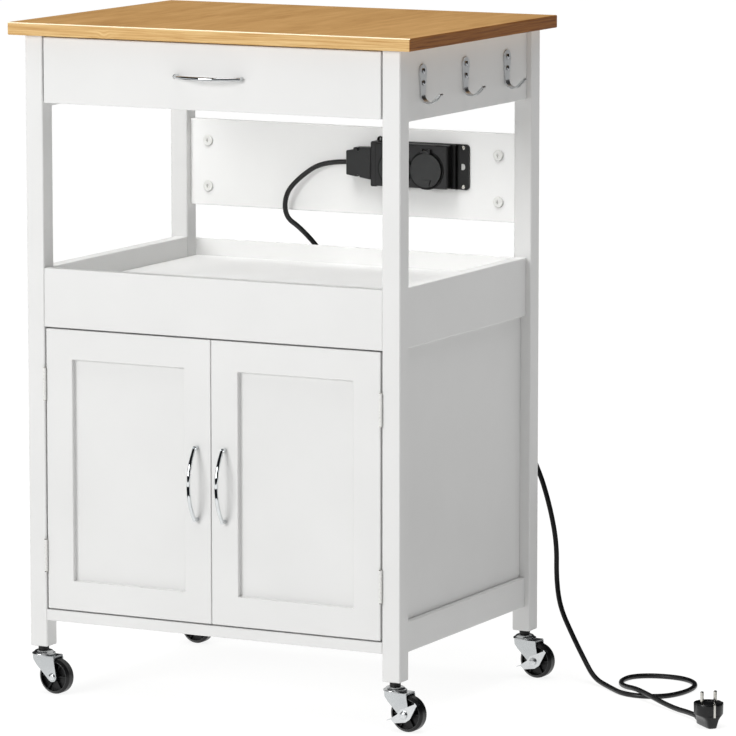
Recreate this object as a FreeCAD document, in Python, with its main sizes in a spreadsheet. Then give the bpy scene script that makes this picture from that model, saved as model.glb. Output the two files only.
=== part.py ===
import FreeCAD, Part
import math
import os
import Sketcher
from FreeCAD import Placement, Rotation, Vector

# Rolling kitchen cart for a microwave: wooden top on four square legs, a drawer, an open
# tray, a two-door cupboard, a power outlet on the rear rail and four swivel casters.
# Millimetres, +Z up, the front faces -Y, the floor is z = 0. The origin lies under the
# middle of the whole box, so every piece is placed from the cart's own middle plane and
# then moved by ORIGIN_X and ORIGIN_Y.

doc = FreeCAD.newDocument("microwave_cart")
sheet = doc.addObject("Spreadsheet::Sheet", "Sheet")

SIZES = {
    # Overall frame
    "cart_height": "910",
    "top_width": "600",
    "top_depth": "444",
    "top_thick": "17",
    "top_edge": "1.5",
    "overhang_side": "20",
    "overhang_front": "12",
    "leg_size": "26",
    "leg_edge": "1.2",
    "board_edge": "0.8",
    "caster_height": "65",
    # Boards between the legs
    "side_recess": "7.5",
    "panel_recess": "15",
    "apron_height": "95.5",
    "rail_thick": "15",
    "rail_height": "120.5",
    "rail_drop": "145.5",
    "tray_drop": "311.5",
    "tray_top": "=cart_height - top_thick - tray_drop",
    "tray_board": "79.5",
    "tray_set": "0.8",
    "tray_lip": "28",
    "shelf_thick": "15",
    "back_thick": "3",
    "back_drop": "4",
    "back_inset": "4",
    "bottom_level": "102",
    "bottom_thick": "15",
    "lower_rail_level": "99",
    "lower_rail_height": "40.5",
    # Round cover caps over the outlet rail's joints
    "cam_radius": "7.5",
    "cam_proud": "3",
    "cam_edge": "0.9",
    "cam_stem": "3",
    "cam_depth": "7",
    "cam_inset": "28.5",
    "cam_low": "27",
    "cam_pitch": "64",
    "cam_slot": "1.4",
    "cam_mark": "5",
    # Fronts
    "front_thick": "15",
    "front_gap": "2",
    "drawer_front_height": "88",
    "door_frame": "40",
    "door_recess": "7.5",
    # Drawer box and its runners
    "box_clear": "12.7",
    "box_thick": "12",
    "box_height": "62",
    "box_lift": "10",
    "box_clear_rear": "40",
    "box_depth": "=top_depth - 2*overhang_front - front_thick - rail_thick - box_clear_rear",
    "base_thick": "3",
    "base_lift": "8",
    "groove_depth": "5",
    "groove_play": "0.1",
    "runner_height": "35",
    "runner_sheet": "1.2",
    "runner_lip": "11",
    "runner_play": "0.4",
    "runner_lift": "13.5",
    # Loose shelf and its pins
    "inner_shelf_level": "303",
    "inner_shelf_play": "1",
    "inner_shelf_setback": "12",
    "pin_radius": "2.5",
    "pin_reach": "8",
    "pin_sunk": "7",
    "pin_spread": "125",
    "pin_step": "32",
    "bore_play": "0.05",
    # Bow handles
    "handle_span": "96",
    "handle_reach": "26.5",
    "handle_wire": "2.5",
    "handle_foot": "2.9",
    "handle_post": "7",
    "handle_inset": "20.5",
    "door_handle_drop": "195",
    "door_handle_level": "=tray_top - tray_board - door_handle_drop",
    # Butt hinges
    "hinge_height": "43",
    "hinge_inset_upper": "77",
    "hinge_inset_lower": "74.5",
    "hinge_upper": "=tray_top - tray_board - hinge_inset_upper",
    "hinge_lower": "=bottom_level + bottom_thick + hinge_inset_lower",
    "hinge_leaf": "0.8",
    "hinge_width": "13",
    "knuckle_radius": "2.2",
    "knuckle_out": "2.2",
    "hinge_pin": "1",
    "hinge_play": "0.1",
    "hinge_cap": "1",
    # Magnetic catch
    "catch_width": "46",
    "catch_depth": "13",
    "catch_height": "34",
    "catch_overlap": "18",
    "strike_width": "16",
    "strike_height": "10",
    "strike_thick": "0.6",
    # Hooks on the right apron
    "hook_first": "52",
    "hook_pitch": "126",
    "hook_width": "21",
    "hook_foot": "12",
    "hook_tip": "8",
    "hook_sheet": "2",
    "hook_head": "23.5",
    "hook_drop": "75",
    "hook_bend": "9.5",
    "hook_reach": "27",
    "hook_rise": "13",
    "hook_screw_upper": "32",
    "hook_screw_pitch": "15.8",
    "screw_head": "3.3",
    "screw_shank": "1.6",
    "screw_length": "14",
    # Outlet unit on the rear rail, placed from its right end and the rail's lower edge
    "outlet_inset": "72",
    "outlet_width": "142",
    "outlet_rise": "41.3",
    "outlet_right": "=top_width/2 - overhang_side - leg_size - outlet_inset",
    "outlet_left": "=outlet_right - outlet_width",
    "outlet_level": "=cart_height - top_thick - rail_drop - rail_height + outlet_rise",
    "outlet_height": "62.5",
    "outlet_corner": "5",
    "outlet_plate": "3",
    "wall_width": "10",
    "step_left": "=outlet_left + wall_width",
    "step_inset": "18",
    "step_right": "=outlet_right - step_inset",
    "step_out": "9",
    "box_inset": "24",
    "box_right": "=outlet_right - box_inset",
    "box_out": "22",
    "box_margin": "1.2",
    "box_round": "2.5",
    "socket_rise": "26.2",
    "socket_level": "=outlet_level + socket_rise",
    "socket_pitch": "48",
    "socket_inset": "79.4",
    "socket_x": "=outlet_right - socket_inset",
    "socket_radius": "19.5",
    "socket_depth": "16",
    "lid_radius": "23.3",
    "lid_thick": "3",
    "lid_play": "0.3",
    "lid_axis": "26",
    "lid_tab": "8",
    "lid_pin": "1.2",
    "lid_barrel": "2.2",
    "lid_ear": "3",
    "lid_lip": "8",
    "contact_radius": "2.6",
    "contact_pitch": "19",
    "lug_inset": "5.5",
    "lug_x": "=outlet_left + lug_inset",
    "lug_radius": "4.5",
    "outlet_screw_x": "8.2",
    "outlet_screw_z": "4.4",
    # Cable connector on the outlet's left end
    "connector_length": "38.5",
    "connector_left": "=outlet_left - connector_length",
    "connector_rise": "31.2",
    "connector_level": "=outlet_level + connector_rise",
    "connector_small": "33.4",
    "connector_large": "44.4",
    "connector_back": "2",
    "connector_out": "20",
    "connector_round": "2",
    "connector_strip": "11",
    "notch_left": "18.5",
    "notch_radius": "2.8",
    # Mains cord and plug
    "cord_diameter": "7",
    "cord_sunk": "5",
    "cord_end": "26",
    "plug_x": "625",
    "plug_y": "7",
    "plug_turn": "42",
    "plug_radius": "18",
    "plug_waist": "17",
    "plug_height": "33",
    "plug_foot_wide": "24",
    "plug_foot_deep": "19",
    "plug_entry": "36",
    "plug_entry_level": "9.5",
    "plug_boot": "6",
    "plug_recess": "3",
    "pin_pitch": "19",
    "plug_pin": "2.4",
    "plug_pin_length": "19",
    "earth_width": "5",
    "earth_length": "18",
    "earth_thick": "0.8",
    # Casters
    "caster_turn": "3",
    "caster_trail": "20.5",
    "wheel_radius": "24",
    "wheel_width": "16.5",
    "wheel_bevel": "3.2",
    "rim_inner": "20",
    "web_thick": "5",
    "hub_radius": "7",
    "hub_width": "19",
    "rib_thick": "2",
    "rib_width": "12",
    "axle_radius": "2.5",
    "axle_head": "4.8",
    "axle_head_thick": "2",
    "fork_inside": "20",
    "fork_sheet": "2",
    "fork_top": "52",
    "fork_front": "10",
    "fork_back": "22.5",
    "fork_nose": "46",
    "fork_chin": "40",
    "fork_lobe": "6.7",
    "stem_radius": "4",
    "stem_length": "30",
    "race_radius": "16",
    "race_edge": "2.6",
    "race_neck": "8.5",
    "race_height": "6.4",
    "race_gap": "0.3",
    "rivet_radius": "6",
    "rivet_thick": "1.8",
    "bush_radius": "7.3",
    "bush_bore": "4.1",
    "lever_sheet": "1.5",
    "lever_gap": "0.3",
    "lever_boss": "5.6",
    "shoe_level": "22.7",
    "shoe_reach": "5.3",
    "shoe_length": "5",
    "shoe_angle": "41",
}

for row, (alias, number) in enumerate(SIZES.items(), start=1):
    sheet.set("A%d" % row, alias)
    sheet.set("B%d" % row, number)
    sheet.setAlias("B%d" % row, alias)
doc.recompute()


def cell(text):
    """Turn the size names of a formula into references to the sheet's cells."""
    out = ""
    word = ""
    for letter in text + " ":
        if letter.isalnum() or letter == "_":
            word += letter
            continue
        out += ("Sheet." + word) if word in SIZES else word
        out += letter
        word = ""
    return out.strip()


def size(name):
    """The number in a cell, for the few shapes that are worked out in this file."""
    return float(getattr(sheet, name))


# Places that several pieces share, as formulas over the cells
TOP_UNDER = "(cart_height - top_thick)"
LEG_OUT_X = "(top_width/2 - overhang_side)"
LEG_OUT_Y = "(top_depth/2 - overhang_front)"
LEG_IN_X = "(top_width/2 - overhang_side - leg_size)"
LEG_IN_Y = "(top_depth/2 - overhang_front - leg_size)"
LEG_MID_X = "(top_width/2 - overhang_side - leg_size/2)"
LEG_MID_Y = "(top_depth/2 - overhang_front - leg_size/2)"
SIDE_THICK = "(leg_size - side_recess)"
PANEL_THICK = "(leg_size - panel_recess)"
RAIL_FACE = "(top_depth/2 - overhang_front - rail_thick)"
RAIL_LEVEL = "(cart_height - top_thick - rail_drop - rail_height)"
TRAY_LEVEL = "(tray_top - tray_board)"
TRAY_BACK = "(-top_depth/2 + overhang_front + tray_set + front_thick)"
SHELF_TOP = "(tray_top - tray_lip)"
FRONT_BACK = "(-top_depth/2 + overhang_front + front_thick)"
FRONT_HALF = "(top_width/2 - overhang_side - leg_size - front_gap)"
DRAWER_LEVEL = "(cart_height - top_thick - front_gap - drawer_front_height)"
BOX_LEVEL = "(cart_height - top_thick - front_gap - drawer_front_height + box_lift)"
BOX_HALF = "(top_width/2 - overhang_side - leg_size - box_clear)"
DOOR_LEVEL = "(bottom_level + bottom_thick + front_gap)"
DOOR_HEIGHT = "(tray_top - tray_board - bottom_level - bottom_thick - 2*front_gap)"
DOOR_WIDTH = "(top_width/2 - overhang_side - leg_size - 3*front_gap/2)"
TURN = "caster_turn * 1 deg"
WHEEL_REACH = ("(" + LEG_MID_X + " + (caster_trail + wheel_radius)*cos(" + TURN + ")"
               " + (wheel_width/2 - wheel_bevel)*sin(" + TURN + "))")
ORIGIN_X = "((" + WHEEL_REACH + " - top_width/2)/2)"
ORIGIN_Y = "((top_depth/2 - " + LEG_OUT_Y + " - handle_reach)/2)"


def bind(thing, **formulas):
    """Tie properties to formulas: bind(box, Length="leg_size")."""
    for name, formula in formulas.items():
        thing.setExpression(name, cell(formula))


def move(thing, x="0", y="0", z="0"):
    """Place a helper solid in the cart's own middle frame."""
    thing.setExpression("Placement.Base.x", cell(x))
    thing.setExpression("Placement.Base.y", cell(y))
    thing.setExpression("Placement.Base.z", cell(z))


parts = {}


def keep(thing, label, x="0", y="0", z="0"):
    """Name a finished sub-part and place it, measured from the origin."""
    thing.Label = label
    move(thing, x + " - " + ORIGIN_X, y + " - " + ORIGIN_Y, z)
    parts[label] = thing
    return thing


def new_body(name):
    return doc.addObject("PartDesign::Body", name)


def plane(body, role):
    return [item for item in body.Origin.OriginFeatures if item.Role == role][0]


def sketch(body, name, role):
    drawing = body.newObject("Sketcher::SketchObject", name)
    drawing.AttachmentSupport = (plane(body, role), [""])
    drawing.MapMode = "FlatFace"
    return drawing


def outline(body, name, role, corners):
    """Closed outline of straight edges. Each corner is a pair of formulas, held by two
    distances from the sketch's origin."""
    drawing = sketch(body, name, role)
    count = len(corners)
    start = [Vector(10 * math.cos(2 * math.pi * i / count),
                    10 * math.sin(2 * math.pi * i / count), 0) for i in range(count)]
    for i in range(count):
        drawing.addGeometry(Part.LineSegment(start[i], start[(i + 1) % count]), False)
    for i in range(count):
        drawing.addConstraint(Sketcher.Constraint("Coincident", i, 2, (i + 1) % count, 1))
    for i, (across, along) in enumerate(corners):
        for kind, formula, value in (("DistanceX", across, start[i].x),
                                     ("DistanceY", along, start[i].y)):
            index = drawing.addConstraint(Sketcher.Constraint(kind, -1, 1, i, 1, value))
            drawing.setExpression("Constraints[%d]" % index, cell(formula))
    return drawing


def rectangle(body, name, role, left, low, right, high):
    return outline(body, name, role, [(left, low), (right, low), (right, high), (left, high)])


def circles(body, name, role, places, radius):
    """Circles of one radius; each place is a pair of formulas."""
    drawing = sketch(body, name, role)
    for number, (across, along) in enumerate(places):
        spot = Vector(3 * number + 1, 1, 0)
        drawing.addGeometry(Part.Circle(spot, Vector(0, 0, 1), 1), False)
        for kind, formula, value in (("DistanceX", across, spot.x), ("DistanceY", along, spot.y)):
            index = drawing.addConstraint(Sketcher.Constraint(kind, -1, 1, number, 3, value))
            drawing.setExpression("Constraints[%d]" % index, cell(formula))
        index = drawing.addConstraint(Sketcher.Constraint("Radius", number, 1))
        drawing.setExpression("Constraints[%d]" % index, cell(radius))
    return drawing


def pad(body, drawing, length, both_ways=False, flip=False):
    feature = body.newObject("PartDesign::Pad", "Pad")
    feature.Profile = drawing
    feature.Midplane = both_ways
    feature.Reversed = flip
    bind(feature, Length=length)
    return feature


def pocket(body, drawing, length, both_ways=False, flip=False):
    feature = body.newObject("PartDesign::Pocket", "Pocket")
    feature.Profile = drawing
    feature.Midplane = both_ways
    feature.Reversed = flip
    bind(feature, Length=length)
    return feature


def ease(body, base, radius, kind="PartDesign::Chamfer"):
    """Break every edge of a board, as sandpaper and paint leave it."""
    feature = body.newObject(kind, "Eased")
    feature.Base = (base, [""])
    feature.UseAllEdges = True
    if kind == "PartDesign::Chamfer":
        bind(feature, Size=radius)
    else:
        bind(feature, Radius=radius)
    return feature


def board(name, wide, deep, tall, edge="board_edge"):
    """Flat board with its low left front corner at its own origin."""
    body = new_body(name)
    block = pad(body, rectangle(body, "Outline", "XY_Plane", "0", "0", wide, deep), tall)
    ease(body, block, edge)
    return body


def mirrored_pair(label, body):
    """The board and its mirror image across the cart's middle plane, as one node."""
    other = doc.addObject("Part::Mirroring", body.Name + "_mirror")
    other.Source = body
    other.Normal = Vector(1, 0, 0)
    group = doc.addObject("Part::Compound", label)
    group.Links = [body, other]
    return keep(group, label)


def solid(kind, name, **formulas):
    """Part primitive with its sizes bound to the cells."""
    thing = doc.addObject("Part::" + kind, name)
    bind(thing, **formulas)
    return thing


def rod(name, radius, length, x="0", y="0", z="0", way=(0, 0, 1)):
    thing = solid("Cylinder", name, Radius=radius, Height=length)
    thing.Placement = Placement(Vector(), Rotation(Vector(0, 0, 1), Vector(*way)))
    move(thing, x, y, z)
    return thing


def block(name, wide, deep, tall, x="0", y="0", z="0"):
    thing = solid("Box", name, Length=wide, Width=deep, Height=tall)
    move(thing, x, y, z)
    return thing


def fused(name, things):
    joined = doc.addObject("Part::MultiFuse", name)
    joined.Shapes = things
    return joined


def cut(name, base, tool):
    left = doc.addObject("Part::Cut", name)
    left.Base = base
    left.Tool = tool
    return left


def group(label, things):
    """Separate identical solids that share one node."""
    bundle = doc.addObject("Part::Compound", label)
    bundle.Links = things
    return keep(bundle, label)


# ---------------------------------------------------------------- worktop
# Solid wood slab with lightly rounded edges
body = new_body("worktop")
slab = pad(body, rectangle(body, "Outline", "XY_Plane", "0", "0", "top_width", "top_depth"),
           "top_thick")
ease(body, slab, "top_edge", "PartDesign::Fillet")
keep(body, "worktop", "-top_width/2", "-top_depth/2", TOP_UNDER)

# ---------------------------------------------------------------- legs
# Square legs from the casters to the top, each bored from below for the caster's stem
CORNERS = {
    "front_left": (-1, -1),
    "front_right": (1, -1),
    "rear_left": (-1, 1),
    "rear_right": (1, 1),
}
for corner, (side, end) in CORNERS.items():
    body = new_body("leg_" + corner)
    half = "leg_size/2"
    bar = pad(body, rectangle(body, "Section", "XY_Plane", "-" + half, "-" + half, half, half),
              TOP_UNDER + " - caster_height")
    bar = ease(body, bar, "leg_edge")
    bore = circles(body, "StemBore", "XY_Plane", [("0", "0")], "stem_radius + bore_play")
    pocket(body, bore, "stem_length", flip=True)
    keep(body, "leg_" + corner, "%d*%s" % (side, LEG_MID_X), "%d*%s" % (end, LEG_MID_Y),
         "caster_height")

# ---------------------------------------------------------------- aprons
# Side aprons under the top; the right one has pilot holes for the hooks' screws
APRON_LEVEL = TOP_UNDER + " - apron_height"
APRON_FACE = "(top_width/2 - overhang_side - side_recess)"
HOOK_PLACES = ["hook_first + %d*hook_pitch - %s" % (number, LEG_IN_Y) for number in range(3)]
SCREW_LEVELS = [TOP_UNDER + " - hook_screw_upper",
                TOP_UNDER + " - hook_screw_upper - hook_screw_pitch"]

apron = board("apron_left", SIDE_THICK, "2*" + LEG_IN_Y, "apron_height")
keep(apron, "apron_left", "-" + APRON_FACE, "-" + LEG_IN_Y, APRON_LEVEL)

body = new_body("apron_right")
plank = pad(body, rectangle(body, "Outline", "XY_Plane", "0", "0", SIDE_THICK,
                            "2*" + LEG_IN_Y), "apron_height")
ease(body, plank, "board_edge")
pilots = [(place + " + " + LEG_IN_Y, level + " - (" + APRON_LEVEL + ")")
          for place in HOOK_PLACES for level in SCREW_LEVELS]
holes = circles(body, "PilotHoles", "YZ_Plane", pilots, "screw_shank + bore_play")
holes.setExpression("AttachmentOffset.Base.z", cell(SIDE_THICK))
pocket(body, holes, "screw_length - hook_sheet + 0.5")
keep(body, "apron_right", LEG_IN_X, "-" + LEG_IN_Y, APRON_LEVEL)

apron = board("apron_rear", "2*" + LEG_IN_X, "rail_thick", "apron_height")
keep(apron, "apron_rear", "-" + LEG_IN_X, RAIL_FACE, APRON_LEVEL)

# ---------------------------------------------------------------- outlet rail and its caps
# Wide rail between the rear legs. Four round caps cover its joints, each on a short stem.
CAM_PLACES = [(across, "cam_low" + up)
              for across in ("cam_inset", "2*" + LEG_IN_X + " - cam_inset")
              for up in ("", " + cam_pitch")]
body = new_body("power_rail")
plank = pad(body, rectangle(body, "Outline", "XY_Plane", "0", "0", "2*" + LEG_IN_X,
                            "rail_thick"), "rail_height")
ease(body, plank, "board_edge")
holes = circles(body, "CapHoles", "XZ_Plane", CAM_PLACES, "cam_stem + bore_play")
pocket(body, holes, "cam_depth + 0.5")
keep(body, "power_rail", "-" + LEG_IN_X, RAIL_FACE, RAIL_LEVEL)

caps = []
for number, (across, up) in enumerate(CAM_PLACES):
    body = new_body("rail_cap%d" % number)
    disc = pad(body, circles(body, "Disc", "XZ_Plane", [("0", "0")], "cam_radius"),
               "cam_proud")
    ease(body, disc, "cam_edge")
    for wide, tall in (("cam_mark", "cam_slot"), ("cam_slot", "cam_mark")):
        mark = rectangle(body, "Mark", "XZ_Plane", "-" + wide + "/2", "-" + tall + "/2",
                         wide + "/2", tall + "/2")
        mark.setExpression("AttachmentOffset.Base.z", cell("cam_proud"))
        pocket(body, mark, "cam_proud/2")
    pad(body, circles(body, "Stem", "XZ_Plane", [("0", "0")], "cam_stem"), "cam_depth",
        flip=True)
    move(body, "-" + LEG_IN_X + " + " + across, RAIL_FACE, RAIL_LEVEL + " + " + up)
    caps.append(body)
group("rail_caps", caps)

# ---------------------------------------------------------------- open tray
tray = board("tray_front", "2*" + LEG_IN_X, "front_thick", "tray_board")
keep(tray, "tray_front", "-" + LEG_IN_X, "-" + LEG_OUT_Y + " + tray_set", TRAY_LEVEL)

side = board("tray_side", SIDE_THICK, "2*" + LEG_IN_Y, "tray_board")
move(side, LEG_IN_X, "-" + LEG_IN_Y, TRAY_LEVEL)
mirrored_pair("tray_sides", side)

shelf = board("tray_shelf", "2*" + LEG_IN_X, LEG_OUT_Y + " - " + TRAY_BACK, "shelf_thick")
keep(shelf, "tray_shelf", "-" + LEG_IN_X, TRAY_BACK, SHELF_TOP + " - shelf_thick")

# ---------------------------------------------------------------- cupboard
# Thin back sheet nailed to the rear legs
sheet_back = board("back_panel", "2*" + LEG_OUT_X + " - 2*back_inset", "back_thick",
                   "tray_top - back_drop - bottom_level", "board_edge/2")
keep(sheet_back, "back_panel", "-" + LEG_OUT_X + " + back_inset", LEG_OUT_Y, "bottom_level")

# Side panels, with two rows of three blind holes each for the loose shelf's pins
PANEL_LEVEL = "(lower_rail_level + lower_rail_height)"
PIN_LEVEL = "(inner_shelf_level - pin_radius)"
body = new_body("side_panel")
plank = pad(body, rectangle(body, "Outline", "XY_Plane", "0", "0", PANEL_THICK,
                            "2*" + LEG_IN_Y), TRAY_LEVEL + " - " + PANEL_LEVEL)
ease(body, plank, "board_edge")
pin_holes = [(LEG_IN_Y + sign + " pin_spread", PIN_LEVEL + " - " + PANEL_LEVEL + " + " + step)
             for sign in (" -", " +") for step in ("0", "pin_step", "-pin_step")]
holes = circles(body, "PinHoles", "YZ_Plane", pin_holes, "pin_radius + bore_play")
pocket(body, holes, "pin_sunk", flip=True)
move(body, LEG_IN_X, "-" + LEG_IN_Y, PANEL_LEVEL)
mirrored_pair("side_panels", body)

rail = board("lower_rail", SIDE_THICK, "2*" + LEG_IN_Y, "lower_rail_height")
move(rail, LEG_IN_X, "-" + LEG_IN_Y, "lower_rail_level")
mirrored_pair("lower_side_rails", rail)

floor = board("bottom_panel", "2*" + LEG_IN_X, "2*" + LEG_OUT_Y, "bottom_thick")
keep(floor, "bottom_panel", "-" + LEG_IN_X, "-" + LEG_OUT_Y, "bottom_level")

# Loose shelf on four pins
loose = board("inner_shelf", "2*(" + LEG_IN_X + " - inner_shelf_play)",
              LEG_OUT_Y + " - inner_shelf_play - " + FRONT_BACK + " - inner_shelf_setback",
              "shelf_thick")
keep(loose, "inner_shelf", "-" + LEG_IN_X + " + inner_shelf_play",
     FRONT_BACK + " + inner_shelf_setback", "inner_shelf_level")
pins = []
for side in (-1, 1):
    for end in (-1, 1):
        pins.append(rod("shelf_pin%d" % len(pins), "pin_radius", "pin_reach + pin_sunk",
                        LEG_IN_X + " - pin_reach" if side > 0 else
                        "-" + LEG_IN_X + " - pin_sunk",
                        "%d*pin_spread" % end, PIN_LEVEL, (1, 0, 0)))
group("shelf_pins", pins)

# ---------------------------------------------------------------- drawer
front = board("drawer_front", "2*" + FRONT_HALF, "front_thick", "drawer_front_height")
keep(front, "drawer_front", "-" + FRONT_HALF, "-" + LEG_OUT_Y, DRAWER_LEVEL)

# Sides with a groove along the inside for the thin base
body = new_body("drawer_side")
section = outline(body, "Section", "XZ_Plane", [
    ("0", "0"), ("box_thick", "0"), ("box_thick", "box_height"), ("0", "box_height"),
    ("0", "base_lift + base_thick + 2*groove_play"),
    ("groove_depth", "base_lift + base_thick + 2*groove_play"),
    ("groove_depth", "base_lift"), ("0", "base_lift")])
pad(body, section, "box_depth", flip=True)
move(body, BOX_HALF + " - box_thick", FRONT_BACK, BOX_LEVEL)
mirrored_pair("drawer_sides", body)

back = board("drawer_back", "2*(" + BOX_HALF + " - box_thick)", "box_thick",
             "box_height - base_lift - base_thick - groove_play", "board_edge/2")
keep(back, "drawer_back", "-" + BOX_HALF + " + box_thick",
     FRONT_BACK + " + box_depth - box_thick",
     BOX_LEVEL + " + base_lift + base_thick + groove_play")

base = board("drawer_bottom", "2*(" + BOX_HALF + " - box_thick + groove_depth - groove_play)",
             "box_depth", "base_thick", "board_edge/4")
keep(base, "drawer_bottom", "-" + BOX_HALF + " + box_thick - groove_depth + groove_play",
     FRONT_BACK, BOX_LEVEL + " + base_lift + groove_play")

# Telescopic runners: a wide channel on each apron, a narrower one on the drawer inside it
RUNNER_LEVEL = BOX_LEVEL + " + runner_lift"
body = new_body("cabinet_runner")
web = "runner_lip - runner_sheet"
section = outline(body, "Channel", "XZ_Plane", [
    ("0", "0"), ("runner_lip", "0"), ("runner_lip", "runner_height"), ("0", "runner_height"),
    ("0", "runner_height - runner_sheet"), (web, "runner_height - runner_sheet"),
    (web, "runner_sheet"), ("0", "runner_sheet")])
pad(body, section, "box_depth", flip=True)
move(body, LEG_IN_X + " - runner_lip", FRONT_BACK, RUNNER_LEVEL)
mirrored_pair("cabinet_runners", body)

body = new_body("drawer_runner")
inset = "(runner_sheet + runner_play)"
lip = "(box_clear - runner_sheet - 2*runner_play)"
tall = "(runner_height - 2*" + inset + ")"
section = outline(body, "Channel", "XZ_Plane", [
    ("0", "0"), (lip, "0"), (lip, "runner_sheet"), ("runner_sheet", "runner_sheet"),
    ("runner_sheet", tall + " - runner_sheet"), (lip, tall + " - runner_sheet"), (lip, tall),
    ("0", tall)])
pad(body, section, "box_depth", flip=True)
move(body, BOX_HALF, FRONT_BACK, RUNNER_LEVEL + " + " + inset)
mirrored_pair("drawer_runners", body)

# ---------------------------------------------------------------- doors
# One board each, with a routed field inside a flat border
for side, label in ((-1, "door_left"), (1, "door_right")):
    body = new_body(label)
    leaf = pad(body, rectangle(body, "Outline", "XY_Plane", "0", "0", DOOR_WIDTH,
                               "front_thick"), DOOR_HEIGHT)
    field = rectangle(body, "Field", "XZ_Plane", "door_frame", "door_frame",
                      DOOR_WIDTH + " - door_frame", DOOR_HEIGHT + " - door_frame")
    routed = pocket(body, field, "door_recess")
    ease(body, routed, "board_edge")
    keep(body, label, "front_gap/4" if side > 0 else "-front_gap/4 - " + DOOR_WIDTH,
         "-" + LEG_OUT_Y, DOOR_LEVEL)

# ---------------------------------------------------------------- bow handles
# A bent wire on two short posts. The bow is an arc through both posts' ends.
BOW_RISE = "(handle_reach - handle_wire - handle_post)"
BOW_RADIUS = "((handle_span^2/4 + " + BOW_RISE + "^2)/(2*" + BOW_RISE + "))"
BOW_HALF = "asin(handle_span/2/" + BOW_RADIUS + ")"
FACE = "-" + LEG_OUT_Y


def bow_handle(label, x, z, upright):
    """Handle on a front face, drawn lying along X, with its bow towards -Y."""
    bow = solid("Torus", label + "_bow", Radius1=BOW_RADIUS, Radius2="handle_wire",
                Angle3="2*" + BOW_HALF)
    bind(bow, **{"Placement.Rotation.Angle": "-90 deg - " + BOW_HALF})
    move(bow, "0", BOW_RADIUS + " - handle_reach + handle_wire")
    pieces = [bow]
    for end in (-1, 1):
        across = "%d*handle_span/2" % end
        pieces.append(rod(label + "_post%d" % end, "handle_foot", "handle_post", across,
                          way=(0, -1, 0)))
        cap = solid("Sphere", label + "_cap%d" % end, Radius="handle_foot")
        move(cap, across, "-handle_post")
        pieces.append(cap)
    handle = fused(label, pieces)
    if upright:
        handle.Placement = Placement(Vector(), Rotation(Vector(0, 1, 0), 90))
    keep(handle, label, x, FACE, z)


HANDLE_X = "(front_gap/4 + handle_inset)"
bow_handle("drawer_handle", "0", DRAWER_LEVEL + " + drawer_front_height/2", False)
bow_handle("door_left_handle", "-" + HANDLE_X, "door_handle_level", True)
bow_handle("door_right_handle", HANDLE_X, "door_handle_level", True)

# ---------------------------------------------------------------- door hinges
# Butt hinges standing in front of the faces: one leaf on the leg, one on the door's edge.
# The leg's leaf carries the outer knuckles, the door's leaf the middle one.
KNUCKLE = "((hinge_height - 2*hinge_play)/3)"
leg_leaves = []
hinge_pins = []
door_leaves = {-1: [], 1: []}
for side in (-1, 1):
    axis_x = "%d*(%s - front_gap/2)" % (side, LEG_IN_X)
    axis_y = FACE + " - knuckle_out"
    for level in ("hinge_lower", "hinge_upper"):
        name = "hinge%d" % len(hinge_pins)
        low = level + " - hinge_height/2"
        bore = rod(name + "_bore", "hinge_pin + bore_play", "hinge_height", axis_x, axis_y, low)
        plate_y = axis_y + " + knuckle_radius + 3*hinge_play"
        plate_deep = "hinge_width"
        stub_deep = "knuckle_radius + 4*hinge_play"
        # Leaf on the leg
        x = axis_x + (" + front_gap/2 - hinge_leaf" if side > 0 else " - front_gap/2")
        pieces = [block(name + "_leg_plate", "hinge_leaf", plate_deep, "hinge_height",
                        x, plate_y, low)]
        for up in ("0", "2*(" + KNUCKLE + " + hinge_play)"):
            z = low + " + " + up
            pieces.append(block(name + "_stub" + up[0], "hinge_leaf", stub_deep, KNUCKLE,
                                x, axis_y, z))
            pieces.append(rod(name + "_knuckle" + up[0], "knuckle_radius", KNUCKLE,
                              axis_x, axis_y, z))
        leg_leaves.append(cut(name + "_leg_leaf", fused(name + "_leg", pieces), bore))
        # Leaf on the door
        x = axis_x + (" - front_gap/2" if side > 0 else " + front_gap/2 - hinge_leaf")
        z = low + " + " + KNUCKLE + " + hinge_play"
        pieces = [block(name + "_door_plate", "hinge_leaf", plate_deep, "hinge_height",
                        x, plate_y, low),
                  block(name + "_door_stub", "hinge_leaf", stub_deep, KNUCKLE, x, axis_y, z),
                  rod(name + "_door_knuckle", "knuckle_radius", KNUCKLE, axis_x, axis_y, z)]
        door_leaves[side].append(cut(name + "_door_leaf", fused(name + "_door", pieces), bore))
        # Pin with a flat cap at each end
        pieces = [rod(name + "_shaft", "hinge_pin", "hinge_height", axis_x, axis_y, low)]
        for end in (low + " - hinge_cap", low + " + hinge_height"):
            pieces.append(rod(name + "_end%d" % len(pieces), "knuckle_radius", "hinge_cap",
                              axis_x, axis_y, end))
        hinge_pins.append(fused(name + "_pin", pieces))
group("hinge_leg_leaves", leg_leaves)
group("hinge_left_door_leaves", door_leaves[-1])
group("hinge_right_door_leaves", door_leaves[1])
group("hinge_pins", hinge_pins)

# ---------------------------------------------------------------- magnetic catch
# Behind the tray's front board, reaching down over the doors' upper edges
body = board("magnetic_catch", "catch_width", "catch_depth", "catch_height")
keep(body, "magnetic_catch", "-catch_width/2", FRONT_BACK + " + tray_set",
     TRAY_LEVEL + " - catch_overlap")
for side, label in ((-1, "catch_plate_left"), (1, "catch_plate_right")):
    near = "front_gap + 2"
    body = board(label, "strike_width", "strike_thick", "strike_height", "strike_thick/4")
    keep(body, label, near if side > 0 else "-(" + near + ") - strike_width", FRONT_BACK,
         TRAY_LEVEL + " - front_gap - 4 - strike_height")

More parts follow.
